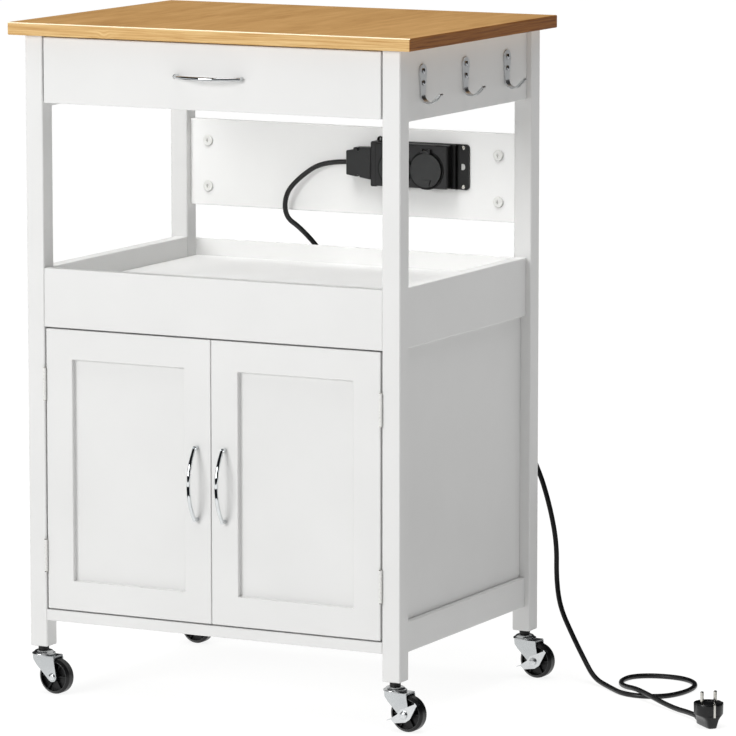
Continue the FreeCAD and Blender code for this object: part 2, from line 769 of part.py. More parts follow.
# ---------------------------------------------------------------- hooks
# Flat strap on the apron, rolled forward at the bottom and narrowing to its tip
BEND_MID = "hook_bend + hook_sheet/2"
hooks = []
screws = []
for number, place in enumerate(HOOK_PLACES):
    name = "hook%d" % number
    head_z = TOP_UNDER + " - hook_head - hook_width/2"
    bend_z = TOP_UNDER + " - hook_drop + hook_bend + hook_sheet"
    # Strap: round head and a taper down to the bend
    body = new_body(name + "_strap")
    taper = outline(body, "Taper", "YZ_Plane", [
        ("-hook_width/2", head_z), ("-hook_foot/2", bend_z),
        ("hook_foot/2", bend_z), ("hook_width/2", head_z)])
    pad(body, taper, "hook_sheet")
    head = rod(name + "_head", "hook_width/2", "hook_sheet", "0", "0", head_z, (1, 0, 0))
    # Bend: part of a ring, then a straight lip rising at 45 degrees
    ring = []
    for tag, radius in (("outer", "hook_bend + hook_sheet"), ("inner", "hook_bend")):
        arc = solid("Cylinder", name + "_" + tag, Radius=radius, Height="hook_foot",
                    Angle="135 deg")
        turn = Rotation(Vector(1, 0, 0), 90).multiply(Rotation(Vector(0, 0, 1), 180))
        arc.Placement = Placement(Vector(), turn)
        move(arc, "hook_bend + hook_sheet", "hook_foot/2", bend_z)
        ring.append(arc)
    bend = cut(name + "_bend", *ring)
    lip = solid("Box", name + "_lip", Length="hook_rise", Width="hook_foot",
                Height="hook_sheet")
    lip.Placement = Placement(Vector(), Rotation(Vector(0, 1, 0), -45))
    reach = "(hook_bend + hook_sheet)*(1 + sin(45 deg))"
    move(lip, reach, "-hook_foot/2", bend_z + " - (hook_bend + hook_sheet)*cos(45 deg)")
    # Seen from above the hook narrows evenly from the strap to the tip
    body_top = new_body(name + "_narrowing")
    wedge = outline(body_top, "FromAbove", "XY_Plane", [
        ("0", "-hook_foot/2"), ("hook_reach + 2*hook_sheet", "-hook_tip/2"),
        ("hook_reach + 2*hook_sheet", "hook_tip/2"), ("0", "hook_foot/2")])
    pad(body_top, wedge, "cart_height")
    front = doc.addObject("Part::Common", name + "_front")
    front.Base = fused(name + "_rolled", [bend, lip])
    front.Tool = body_top
    whole = fused(name + "_whole", [body, head, front])
    bores = [rod(name + "_bore%d" % k, "screw_shank + bore_play", "3*hook_sheet",
                 "-hook_sheet", "0", level, (1, 0, 0)) for k, level in enumerate(SCREW_LEVELS)]
    hook = cut(name, whole, fused(name + "_bores", bores))
    move(hook, APRON_FACE, place)
    hooks.append(hook)
    # Two pan-head screws with a cross in each head
    for k, level in enumerate(SCREW_LEVELS):
        tag = name + "_screw%d" % k
        shank = rod(tag + "_shank", "screw_shank", "screw_length",
                    "hook_sheet - screw_length", "0", level, (1, 0, 0))
        pan = solid("Cone", tag + "_pan", Radius1="screw_head", Radius2="0.7*screw_head",
                    Height="screw_head/2")
        pan.Placement = Placement(Vector(), Rotation(Vector(0, 0, 1), Vector(1, 0, 0)))
        move(pan, "hook_sheet", "0", level)
        arm = "1.1*screw_head"
        cross = [block(tag + "_slot%d" % n, "screw_head", wide, tall,
                       "hook_sheet + 0.2*screw_head", "-(" + wide + ")/2",
                       level + " - (" + tall + ")/2")
                 for n, (wide, tall) in enumerate(((arm, "screw_head/4"),
                                                   ("screw_head/4", arm)))]
        screw = cut(tag, fused(tag + "_body", [shank, pan]), fused(tag + "_cross", cross))
        move(screw, APRON_FACE, place)
        screws.append(screw)
group("hooks", hooks)
group("hook_screws", screws)

# ---------------------------------------------------------------- outlet unit
# Flanged black housing on the rail with two wells under round lids
OUTLET_FACE = RAIL_FACE + " - box_out"
OUTLET_MID = "(outlet_level + outlet_height/2)"
LIDS = {"left": "socket_x - socket_pitch/2", "right": "socket_x + socket_pitch/2"}
EAR_OUT = "(lid_play + 2*lid_barrel)"

# Drawn from the front: x as on the cart, z from the middle of its height, y = 0 at the rail
half = "outlet_height/2"
slot = "outlet_right - outlet_screw_x"
flange_wide = "(outlet_right - outlet_left)"
shell = [block("flange_wide", flange_wide, "outlet_plate", "outlet_height - 2*outlet_corner",
               "outlet_left", "-outlet_plate", "-" + half + " + outlet_corner"),
         block("flange_tall", flange_wide + " - 2*outlet_corner", "outlet_plate",
               "outlet_height", "outlet_left + outlet_corner", "-outlet_plate", "-" + half)]
for number, (side, up) in enumerate(((0, -1), (1, -1), (0, 1), (1, 1))):
    shell.append(rod("flange_corner%d" % number, "outlet_corner", "outlet_plate",
                     "outlet_left + outlet_corner + %d*(%s - 2*outlet_corner)"
                     % (side, flange_wide), "-outlet_plate",
                     "%d*(%s - outlet_corner)" % (up, half), (0, 1, 0)))
body_hole = new_body("key_hole")
opening = outline(body_hole, "KeyHole", "XZ_Plane", [
    (slot + " + 1.8", "3.6"), (slot + " - 0.6", "3.6"), (slot + " - 2", "2"),
    (slot + " - 2", "-1.6"), (slot + " - 0.6", "-3"), (slot + " + 1.8", "-3")])
pad(body_hole, opening, "3*outlet_plate", both_ways=True)
wells = [body_hole]
for number, sign in enumerate("+-"):
    wells.append(rod("flange_hole%d" % number, "screw_shank + bore_play", "3*outlet_plate",
                     slot, "-2*outlet_plate", "%s(%s - outlet_screw_z)" % (sign, half),
                     (0, 1, 0)))

body_box = new_body("outlet_box")
end_wall = pad(body_box, rectangle(body_box, "EndWall", "XZ_Plane", "outlet_left", "-" + half,
                                   "step_left", half), "box_out")
ease(body_box, end_wall, "box_round", "PartDesign::Fillet")
body_step = new_body("outlet_step")
low = "-" + half + " + box_margin/2"
step = pad(body_step, rectangle(body_step, "Step", "XZ_Plane", "step_left - box_round", low,
                                "step_right", half + " - box_margin/2"), "step_out")
ease(body_step, step, "box_round/2", "PartDesign::Fillet")
body_face = new_body("outlet_face")
front_box = pad(body_face, rectangle(body_face, "Face", "XZ_Plane", "step_left - box_round",
                                     "-" + half + " + box_margin", "box_right",
                                     half + " - box_margin"), "box_out")
ease(body_face, front_box, "box_round", "PartDesign::Fillet")
shell += [body_box, body_step, body_face]
for side, middle in LIDS.items():
    # Ears and pin that carry the lid
    axis_y = "-box_out - lid_play - lid_barrel"
    axis_z = "socket_level - " + OUTLET_MID + " + lid_axis"
    for sign in (-1, 1):
        x = middle + " %s lid_tab/2 %s lid_play" % ("+-"[sign < 0], "+-"[sign < 0])
        shell.append(block("ear_%s%d" % (side, sign), "lid_ear", EAR_OUT + " + 1",
                           "2*lid_barrel + 1", x + (" - lid_ear" if sign < 0 else ""),
                           "-box_out - " + EAR_OUT, axis_z + " - lid_barrel"))
    shell.append(rod("lid_pin_" + side, "lid_pin", "lid_tab + 2*lid_play + 2",
                     middle + " - lid_tab/2 - lid_play - 1", axis_y, axis_z, (1, 0, 0)))
    # Well and its two contact holes
    z = "socket_level - " + OUTLET_MID
    wells.append(rod("well_" + side, "socket_radius", "socket_depth + 1", middle,
                     "-box_out - 1", z, (0, 1, 0)))
    for sign in (-1, 1):
        wells.append(rod("contact_%s%d" % (side, sign), "contact_radius", "socket_depth + 4",
                         middle + " + %d*contact_pitch/2" % sign, "-box_out", z, (0, 1, 0)))
# Ring lug above the left end
shell.append(rod("lug", "lug_radius", "outlet_plate", "lug_x", "-outlet_plate", half + " + 1",
                 (0, 1, 0)))
wells.append(rod("lug_hole", "lug_radius - 2", "2*outlet_plate", "lug_x", "-1.5*outlet_plate",
                 half + " + 1.5", (0, 1, 0)))
housing = cut("outlet_housing", fused("outlet_shell", shell), fused("outlet_wells", wells))
keep(housing, "outlet_housing", "0", RAIL_FACE, OUTLET_MID)

# Sprung lids: disc, barrel round the pin and a raised finger lip
for side, middle in LIDS.items():
    name = "outlet_lid_" + side
    face = "-lid_play"
    disc = rod(name + "_disc", "lid_radius", "lid_thick", "0", face + " - lid_thick", "0",
               (0, 1, 0))
    neck = block(name + "_neck", "lid_tab", "lid_thick", "lid_axis", "-lid_tab/2",
                 face + " - lid_thick", "0")
    barrel = rod(name + "_barrel", "lid_barrel", "lid_tab", "-lid_tab/2",
                 face + " - lid_barrel", "lid_axis", (1, 0, 0))
    body = new_body(name + "_lip")
    lip = outline(body, "Lip", "XZ_Plane", [
        ("-lid_lip", "-0.55*lid_radius"), ("-0.7*lid_lip", "-0.88*lid_radius"),
        ("0.7*lid_lip", "-0.88*lid_radius"), ("lid_lip", "-0.55*lid_radius")])
    pad(body, lip, "0.6*lid_thick")
    move(body, "0", face + " - lid_thick", "0")
    bore = rod(name + "_bore", "lid_pin + bore_play", "2*lid_tab", "-lid_tab",
               face + " - lid_barrel", "lid_axis", (1, 0, 0))
    lid = cut(name, fused(name + "_body", [disc, neck, barrel, body]), bore)
    keep(lid, name, middle, OUTLET_FACE, "socket_level")

screws = []
for number, level in enumerate(("outlet_screw_z", "outlet_height - outlet_screw_z")):
    tag = "outlet_screw%d" % number
    shank = rod(tag + "_shank", "screw_shank", "outlet_plate", "0", "-outlet_plate", "0",
                (0, 1, 0))
    pan = solid("Cone", tag + "_pan", Radius1="screw_head", Radius2="0.7*screw_head",
                Height="screw_head/2")
    pan.Placement = Placement(Vector(), Rotation(Vector(0, 0, 1), Vector(0, -1, 0)))
    move(pan, "0", "-outlet_plate")
    slot_cut = [block(tag + "_slot%d" % n, wide, "screw_head", tall, "-(" + wide + ")/2",
                      "-outlet_plate - 1.2*screw_head", "-(" + tall + ")/2")
                for n, (wide, tall) in enumerate((("1.1*screw_head", "screw_head/4"),
                                                  ("screw_head/4", "1.1*screw_head")))]
    screw = cut(tag, fused(tag + "_body", [shank, pan]), fused(tag + "_cross", slot_cut))
    move(screw, slot, RAIL_FACE, "outlet_level + " + level)
    screws.append(screw)
group("outlet_screws", screws)

# ---------------------------------------------------------------- cable connector
# Tapered block on the housing's left end; the cord leaves its small end
body = new_body("cord_connector")
long = "(outlet_left - connector_left)"
section = outline(body, "Taper", "XZ_Plane", [
    ("0", "-connector_small/2"), (long, "-connector_large/2"), (long, "connector_large/2"),
    ("connector_strip", "connector_large/2 - 0.8"),
    ("connector_strip", "connector_small/2 + 1.4"), ("0", "connector_small/2")])
taper = pad(body, section, "connector_out - connector_back")
ease(body, taper, "connector_round/2")
for sign in (-1, 1):
    notch = circles(body, "Notch", "XZ_Plane",
                    [("notch_left", "%d*(connector_small/2 + 2.2)" % sign)], "notch_radius")
    pocket(body, notch, "3*connector_out", both_ways=True)
entry = circles(body, "CordHole", "YZ_Plane", [("-(connector_out - connector_back)/2", "0")],
                "cord_diameter/2")
pocket(body, entry, "cord_sunk", flip=True)
keep(body, "cord_connector", "connector_left", RAIL_FACE + " - connector_back",
     "connector_level")

# ---------------------------------------------------------------- plug
# Angled plug lying on its back with its pins up; the cord enters low on one side.
# Drawn round its own axis with the cord entry towards -X.
rim = rod("plug_rim", "plug_radius", "plug_height - plug_waist", "0", "0", "plug_waist")
body = new_body("plug_foot")
low_part = outline(body, "Side", "XZ_Plane", [
    ("-plug_foot_wide", "0"), ("plug_foot_deep*0.55", "0"), ("plug_radius", "plug_waist"),
    ("-plug_radius", "plug_waist + 2"), ("-plug_foot_wide", "plug_waist")])
pad(body, low_part, "1.35*plug_radius", both_ways=True)
neck = rod("plug_neck", "plug_radius", "2", "0", "0", "plug_waist - 1")
boot = solid("Cone", "plug_boot_piece", Radius1="plug_boot", Radius2="0.75*plug_boot",
             Height="plug_entry - 0.8*plug_foot_wide")
boot.Placement = Placement(Vector(), Rotation(Vector(0, 0, 1), Vector(-1, 0, 0)))
move(boot, "-0.8*plug_foot_wide", "0", "plug_entry_level")
hollow = rod("plug_hollow", "plug_radius - 2.5", "plug_recess + 1", "0", "0",
             "plug_height - plug_recess")
cord_hole = rod("plug_cord_hole", "cord_diameter/2", "plug_entry/3",
                "-plug_entry - 1", "0", "plug_entry_level", (1, 0, 0))
sockets = [rod("plug_pin_hole%d" % side, "plug_pin", "plug_recess + 8", "0",
               "%d*pin_pitch/2" % side, "plug_height - plug_recess - 6") for side in (-1, 1)]
strip_low = "plug_height - earth_length"
slots = [block("earth_slot%d" % side, "2*earth_thick", "earth_width + 2*bore_play",
               "earth_length", "%d*plug_radius - earth_thick" % side,
               "-earth_width/2 - bore_play", strip_low) for side in (-1, 1)]
plug = cut("plug_body", fused("plug_solid", [rim, body, neck, boot]),
           fused("plug_cuts", [hollow, cord_hole] + sockets + slots))
bind(plug, **{"Placement.Rotation.Angle": "-plug_turn * 1 deg"})
keep(plug, "plug_body", "plug_x", "plug_y", "0")

# Two round pins and the two earth strips on the rim
metal = []
for side in (-1, 1):
    shank = rod("plug_shank%d" % side, "plug_pin", "plug_pin_length + 4", "0",
                "%d*pin_pitch/2" % side, "plug_height - plug_recess - 5")
    metal.append(shank)
    metal.append(block("earth_strip%d" % side, "1.2*earth_thick", "earth_width",
                       "earth_length - 1", "%d*plug_radius - %s*earth_thick"
                       % (side, "1" if side > 0 else "0.2"), "-earth_width/2", strip_low))
contacts = doc.addObject("Part::Compound", "plug_pins")
contacts.Links = metal
bind(contacts, **{"Placement.Rotation.Angle": "-plug_turn * 1 deg"})
keep(contacts, "plug_pins", "plug_x", "plug_y", "0")

# ---------------------------------------------------------------- casters
# Swivel casters, all trailing the same way. Drawn round the stem's axis with the trail
# towards +X and the brake side towards -Y, then turned by caster_turn.
TURNED = {"Placement.Rotation.Angle": "-" + TURN}
FORK_HALF = "(fork_inside/2 + fork_sheet)"
LEVER_OUT = "(" + FORK_HALF + " + 2*lever_gap + 1.5*lever_sheet)"


def spot(corner, along, across):
    """A point of a caster, along its trail and across it, in the cart's middle frame."""
    side, end = CORNERS[corner]
    turned_x = "(%s)*cos(%s) + (%s)*sin(%s)" % (along, TURN, across, TURN)
    turned_y = "(%s)*cos(%s) - (%s)*sin(%s)" % (across, TURN, along, TURN)
    return ("%d*%s + %s" % (side, LEG_MID_X, turned_x),
            "%d*%s + %s" % (end, LEG_MID_Y, turned_y))


stems = []
bushes = []
for corner, (side, end) in CORNERS.items():
    # Fixed part: rivet under the fork, stem up into the leg, race over the fork
    name = "stem_" + corner
    at = ("%d*%s" % (side, LEG_MID_X), "%d*%s" % (end, LEG_MID_Y))
    rivet_z = "fork_top - fork_sheet - race_gap - rivet_thick"
    race_z = "fork_top + race_gap"
    dome = solid("Cone", name + "_dome", Radius1="race_radius", Radius2="race_neck",
                 Height="race_height - race_edge")
    move(dome, *at, race_z + " + race_edge")
    stem = fused(name, [
        rod(name + "_rivet", "rivet_radius", "rivet_thick", *at, rivet_z),
        rod(name + "_shank", "stem_radius",
            "caster_height + stem_length - 1 - (" + rivet_z + ")", *at, rivet_z),
        rod(name + "_race", "race_radius", "race_edge", *at, race_z), dome])
    stems.append(stem)
    bush_z = race_z + " + race_height"
    bush = cut("bush_" + corner,
               rod(name + "_bush", "bush_radius", "caster_height - (" + bush_z + ")", *at,
                   bush_z),
               rod(name + "_hole", "stem_radius", "caster_height", *at))
    bushes.append(bush)

    # Fork: two cheeks and a top plate from one bent sheet, with the axle riveted in
    braked = side > 0
    name = "caster_fork_" + corner
    body = new_body(name + "_sheet")
    cheek = outline(body, "Cheek", "XZ_Plane", [
        ("-fork_front", "fork_top"), ("-0.94*fork_front", "fork_nose"),
        ("-fork_front/2", "fork_chin"),
        ("caster_trail - 0.71*fork_lobe", "wheel_radius - 0.71*fork_lobe"),
        ("caster_trail + fork_lobe", "wheel_radius"), ("fork_back", "fork_top")])
    pad(body, cheek, "2*" + FORK_HALF, both_ways=True)
    pad(body, circles(body, "Lobe", "XZ_Plane", [("caster_trail", "wheel_radius")],
                      "fork_lobe"), "2*" + FORK_HALF, both_ways=True)
    inside = rectangle(body, "Inside", "XZ_Plane", "-2*fork_front", "0", "3*fork_back",
                       "fork_top - fork_sheet")
    pocket(body, inside, "fork_inside", both_ways=True)
    pocket(body, circles(body, "StemHole", "XY_Plane", [("0", "0")], "bush_bore"),
           "fork_top", flip=True)
    near = LEVER_OUT if braked else FORK_HALF
    axle = [rod(name + "_axle", "axle_radius", FORK_HALF + " + " + near, "caster_trail",
                "-" + near, "wheel_radius", (0, 1, 0)),
            rod(name + "_far", "axle_head", "axle_head_thick/2", "caster_trail",
                FORK_HALF, "wheel_radius", (0, 1, 0))]
    head = solid("Cone", name + "_near", Radius1="axle_head", Radius2="axle_head/2",
                 Height="axle_head_thick")
    head.Placement = Placement(Vector(), Rotation(Vector(0, 0, 1), Vector(0, -1, 0)))
    move(head, "caster_trail", "-" + near, "wheel_radius")
    axle.append(head)
    fork = fused(name, [body] + axle)
    bind(fork, **TURNED)
    keep(fork, name, *at)

    # Wheel: tread, web, hub and six ribs
    name = "caster_wheel_" + corner
    body = new_body(name + "_disc")
    half = "wheel_width/2"
    profile = outline(body, "Profile", "XY_Plane", [
        ("0", "-hub_width/2"), ("hub_radius", "-hub_width/2"), ("hub_radius", "-web_thick/2"),
        ("rim_inner", "-web_thick/2"), ("rim_inner", "-" + half),
        ("wheel_radius - wheel_bevel", "-" + half),
        ("wheel_radius", "-" + half + " + wheel_bevel"),
        ("wheel_radius", half + " - wheel_bevel"), ("wheel_radius - wheel_bevel", half),
        ("rim_inner", half), ("rim_inner", "web_thick/2"), ("hub_radius", "web_thick/2"),
        ("hub_radius", "hub_width/2"), ("0", "hub_width/2")])
    lathe = body.newObject("PartDesign::Revolution", "Turned")
    lathe.Profile = profile
    lathe.ReferenceAxis = (profile, ["V_Axis"])
    lathe.Angle = 360
    ribs = []
    for number in range(3):
        rib = block(name + "_rib%d" % number, "2*rim_inner + 1", "rib_width", "rib_thick")
        turn = Rotation(Vector(0, 1, 0), 60 * number)
        rib.Placement = Placement(Vector(), turn)
        lean = "%d deg" % (60 * number)
        across = "(rim_inner + 0.5)"
        move(rib, "-%s*cos(%s) - rib_thick/2*sin(%s)" % (across, lean, lean), "-rib_width/2",
             "%s*sin(%s) - rib_thick/2*cos(%s)" % (across, lean, lean))
        ribs.append(rib)
    bore = rod(name + "_bore", "axle_radius + bore_play", "2*hub_width", "0", "-hub_width",
               "0", (0, 1, 0))
    wheel = cut(name, fused(name + "_solid", [body] + ribs), bore)
    bind(wheel, **TURNED)
    keep(wheel, name, *spot(corner, "caster_trail", "0"), "wheel_radius")

    # Brake lever on the axle: pointed foot tab, body and a short shoe bent over the
    # tread's bevel. Its outline follows the wheel's radius.
    if not braked:
        continue
    name = "brake_lever_" + corner
    body = new_body(name + "_plate")
    plate = outline(body, "Plate", "XZ_Plane", [
        ("%.3f*wheel_radius" % along, "%.3f*wheel_radius" % up) for along, up in (
            (-1.08, -0.41), (-0.81, -0.32), (-0.6, -0.51), (0.1, -0.4), (0.39, -0.2),
            (0.8, 0.58), (0.72, 0.69), (0.24, 0.47), (-0.22, 0.28), (-0.38, 0.03),
            (-0.81, -0.26), (-1.08, -0.37))])
    pad(body, plate, "lever_sheet")
    pad(body, circles(body, "Boss", "XZ_Plane", [("0", "0")], "lever_boss"),
        "1.5*lever_sheet")
    shoe = solid("Box", name + "_shoe", Length="lever_sheet", Width="lever_sheet + shoe_reach",
                 Height="shoe_length")
    shoe.Placement = Placement(Vector(), Rotation(Vector(0, 1, 0), 1))
    bind(shoe, **{"Placement.Rotation.Angle": "-shoe_angle * 1 deg"})
    across, up = "cos(shoe_angle * 1 deg)", "sin(shoe_angle * 1 deg)"
    move(shoe, "shoe_level*" + across + " + shoe_length/2*" + up, "-lever_sheet",
         "shoe_level*" + up + " - shoe_length/2*" + across)
    bore = rod(name + "_bore", "axle_radius + bore_play", "6*lever_sheet", "0",
               "-4*lever_sheet", "0", (0, 1, 0))
    lever = cut(name, fused(name + "_solid", [body, shoe]), bore)
    bind(lever, **TURNED)
    keep(lever, name, *spot(corner, "caster_trail", "-" + FORK_HALF + " - lever_gap"),
         "wheel_radius")
group("caster_stems", stems)
group("caster_bushes", bushes)

# ---------------------------------------------------------------- mains cord
# Out of the connector, down between the rail and the back sheet, behind the back sheet,
# down past the right rear leg, round a loop on the floor and up into the plug.
# The route is a row of corners, each rounded by an arc between two straight runs.
REAR = size("top_depth") / 2 - size("overhang_front")
GLAND = Vector(size("connector_left"),
               REAR - size("rail_thick") - (size("connector_back") + size("connector_out")) / 2,
               size("connector_level"))
TURNED_PLUG = math.radians(180 - size("plug_turn"))
ENTRY = Vector(math.cos(TURNED_PLUG), math.sin(TURNED_PLUG), 0)
PLUG = Vector(size("plug_x"), size("plug_y"), size("plug_entry_level"))

# Corners near the connector, measured from where the cord leaves it
UPPER = [(5, 0, 0), (-38.5, 0, 0), (-76.5, -3, -25.5), (-97, -5, -49.5),
         (-100, 0.5, -81.5), (-91.5, 30, -99.5), (-72.5, 54, -132.5)]
# Corners behind the cupboard and down to the floor; y from the legs' rear faces
HANGING = [(-35, 24, 516), (30, 20, 468), (105, 17, 424), (182, 16, 387), (240, 17, 340),
           (272, 18, 286), (290, 18, 233), (300.5, 18, 182), (300.5, 17, 134), (309, 11, 96),
           (330, 4, 62), (352, -5, 32)]
# The loop on the floor, with a low hump where the cord crosses over itself
LOOP = [(376, -21, 8), (408, -44, 3.5), (450, -83, 3.5), (500, -75, 3.5), (517, -28, 3.5),
        (511, 24, 3.5), (478, 55, 3.5), (432, 54, 3.5), (403, 34, 3.5), (402, 2, 3.5),
        (416, -18, 3.8), (434, -39, 5), (466, -72, 11.5), (494, -93, 11.2), (527, -115, 5),
        (556, -138, 4)]
corners = [GLAND + Vector(*corner) for corner in UPPER]
corners += [Vector(x, REAR + y, z) for x, y, z in HANGING + LOOP]
corners += [PLUG + ENTRY * (size("cord_end") + 34),
            PLUG + ENTRY * size("cord_end")]

runs = [after - before for before, after in zip(corners, corners[1:])]
edges = []
radii = []
start = corners[0]
for corner, before, after in zip(corners[1:], runs, runs[1:]):
    turn = before.getAngle(after)
    reach = 0.45 * min(before.Length, after.Length)
    radii.append(reach / math.tan(turn / 2))
    into = Vector(before).normalize()
    away = Vector(after).normalize()
    first = corner - into * reach
    last = corner + away * reach
    inward = (away - into).normalize()
    middle = corner + inward * (radii[-1] / math.cos(turn / 2) - radii[-1])
    edges.append(Part.makeLine(start, first))
    edges.append(Part.Arc(first, middle, last).toShape())
    start = last
edges.append(Part.makeLine(start, corners[-1]))
spine = Part.Wire(edges)
section = Part.Wire([Part.makeCircle(size("cord_diameter") / 2, corners[0], runs[0])])
cord = doc.addObject("Part::Feature", "cord_tube")
cord.Shape = spine.makePipeShell([section], True, False)
keep(cord, "cord")

# ---------------------------------------------------------------- checks and files
doc.recompute()
tube = math.pi * (size("cord_diameter") / 2) ** 2 * spine.Length
print("cord length %.0f mm, volume %.0f mm3, section x length %.0f mm3"
      % (spine.Length, cord.Shape.Volume, tube))
print("cord radii", " ".join("%.0f" % radius for radius in radii))
if abs(cord.Shape.Volume / tube - 1) > 0.01:
    raise ValueError("the cord's volume does not match its section times its length")

for item in doc.Objects:
    if "Invalid" in item.State or "Error" in item.State:
        raise ValueError("cannot rebuild " + item.Label)
os.makedirs("parts", exist_ok=True)
for label, part in parts.items():
    if part.Shape.isNull() or not part.Shape.isValid():
        raise ValueError("bad shape: " + label)
    part.Shape.exportStep("parts/%s.step" % label)
print(len(parts), "sub-parts written")
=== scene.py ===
import math

import bpy
import numpy as np
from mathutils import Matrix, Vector


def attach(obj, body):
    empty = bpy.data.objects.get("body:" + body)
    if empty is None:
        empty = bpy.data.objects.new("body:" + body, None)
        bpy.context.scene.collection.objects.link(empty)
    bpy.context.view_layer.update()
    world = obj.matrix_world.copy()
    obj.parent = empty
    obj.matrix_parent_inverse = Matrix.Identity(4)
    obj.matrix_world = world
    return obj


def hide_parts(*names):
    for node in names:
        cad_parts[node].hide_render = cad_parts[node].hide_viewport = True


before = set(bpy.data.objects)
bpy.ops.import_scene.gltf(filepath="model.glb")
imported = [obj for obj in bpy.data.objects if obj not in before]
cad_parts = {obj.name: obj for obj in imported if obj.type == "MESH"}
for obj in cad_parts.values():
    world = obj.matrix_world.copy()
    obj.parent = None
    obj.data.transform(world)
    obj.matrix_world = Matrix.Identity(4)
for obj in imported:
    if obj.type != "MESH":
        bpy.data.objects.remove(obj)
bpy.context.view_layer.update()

# ---------------------------------------------------------------- studio
# A plain white floor under an even white sky. A large soft box at the front left lifts the
# front faces over the right ones, and a small strip overhead gives the metals a highlight.


def linear(hex_colour):
    """sRGB hex to linear RGBA: the low end is divided by 12.92, the rest is a 2.4 power."""
    channels = [int(hex_colour[i:i + 2], 16) / 255 for i in (1, 3, 5)]
    return tuple(c / 12.92 if c <= 0.04045 else ((c + 0.055) / 1.055) ** 2.4
                 for c in channels) + (1.0,)


def add(tree, kind, inputs=None, **settings):
    """Add one shader node, set its properties and fill or link its inputs."""
    node = tree.nodes.new("ShaderNode" + kind)
    for name, value in settings.items():
        setattr(node, name, value)
    for name, value in (inputs or {}).items():
        if isinstance(value, bpy.types.NodeSocket):
            tree.links.new(value, node.inputs[name])
        else:
            node.inputs[name].default_value = value
    return node


def new_finish(name, **constants):
    """A material with one surface shader. Constants go straight on the shader's sockets."""
    material = bpy.data.materials.new(name)
    material.use_nodes = True
    tree = material.node_tree
    tree.nodes.clear()
    inputs = {key.replace("_", " "): value for key, value in constants.items()}
    shader = add(tree, "BsdfPrincipled", inputs)
    add(tree, "OutputMaterial", {"Surface": shader.outputs["BSDF"]})
    return material, tree, shader


def tones(tree, factor, *stops):
    """A colour ramp through hex colours; each stop is a position and a colour."""
    ramp = add(tree, "ValToRGB", {"Fac": factor})
    while len(ramp.color_ramp.elements) < len(stops):
        ramp.color_ramp.elements.new(0.5)
    for element, (position, colour) in zip(ramp.color_ramp.elements, stops):
        element.position = position
        element.color = linear(colour)
    return ramp.outputs["Color"]


def new_piece(name, points, faces, finish, body=None, smooth=True):
    """Mesh object from whole arrays of points and faces, riding on a body."""
    mesh = bpy.data.meshes.new(name)
    mesh.from_pydata(np.asarray(points, float).reshape(-1, 3).tolist(), [], list(faces))
    mesh.polygons.foreach_set("use_smooth", [smooth] * len(mesh.polygons))
    mesh.materials.append(finish)
    mesh.update()
    piece = bpy.data.objects.new(name, mesh)
    bpy.context.scene.collection.objects.link(piece)
    if body:
        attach(piece, body)
    return piece


def ring_faces(rows, columns, closed_ends=False):
    """Quads between neighbouring rings of a grid that closes on itself along its columns,
    and a cap over the first and the last ring where asked."""
    corner = np.arange(rows * columns).reshape(rows, columns)
    after = np.roll(corner, -1, axis=1)
    faces = np.stack([corner[:-1], after[:-1], after[1:], corner[1:]], -1)
    faces = faces.reshape(-1, 4).tolist()
    if closed_ends:
        faces += [corner[0, ::-1].tolist(), corner[-1].tolist()]
    return faces


# The floor is a lit white acrylic table: half its white is its own glow, so the shade under
# the cart stays soft. Rings widen outwards to 45 m.
lit_acrylic, tree, shader = new_finish("lit white acrylic table", Roughness=0.9,
                                       Specular_IOR_Level=0.0, Emission_Strength=0.85,
                                       Emission_Color=linear("#ffffff"))
place = add(tree, "TexCoord").outputs["Object"]
mottle = add(tree, "TexNoise", {"Vector": place, "Scale": 3.0, "Detail": 2.0})
tree.links.new(tones(tree, mottle.outputs["Fac"], (0.3, "#7b7b7a"), (0.7, "#7e7e7d")),
               shader.inputs["Base Color"])
rings = np.concatenate([np.linspace(0.01, 3, 12), np.geomspace(4, 45, 10)])
turn = np.linspace(0, 2 * np.pi, 48, endpoint=False)
flat = np.stack([np.outer(rings, np.cos(turn)), np.outer(rings, np.sin(turn)),
                 np.zeros((22, 48))], -1)
table = new_piece("studio_floor", flat, [face[::-1] for face in ring_faces(22, 48)]
                  + [list(range(48))], lit_acrylic)

# Dark felt that only mirrors see, a hood overhead and a ring on the floor: chrome and black
# plastic need something dark to show, and the white light goes through it
dark_felt, tree, shader = new_finish("dark felt", Roughness=1.0, Specular_IOR_Level=0.0,
                                     Emission_Strength=1.0, Base_Color=linear("#000000"))
place = add(tree, "TexCoord").outputs["Object"]
nap = add(tree, "TexNoise", {"Vector": place, "Scale": 2.0, "Detail": 2.0})
tree.links.new(tones(tree, nap.outputs["Fac"], (0.3, "#191a1c"), (0.7, "#2a2b2d")),
               shader.inputs["Emission Color"])
drop, turned = np.meshgrid(np.radians(np.linspace(1, 90, 24)), turn, indexing="ij")
dome = 8.5 * np.stack([np.sin(drop) * np.cos(turned), np.sin(drop) * np.sin(turned),
                       np.cos(drop)], -1)
hood = new_piece("studio_hood", dome, ring_faces(24, 48) + [list(range(48))], dark_felt)
rug = np.stack([np.outer((0.8, 1.9), np.cos(turn)), np.outer((0.8, 1.9), np.sin(turn)),
                np.full((2, 48), 0.0015)], -1)
mat = new_piece("studio_ring", rug, [face[::-1] for face in ring_faces(2, 48)], dark_felt)
for felt in (hood, mat):
    for sight in ("camera", "diffuse", "transmission", "volume_scatter", "shadow"):
        setattr(felt, "visible_" + sight, False)

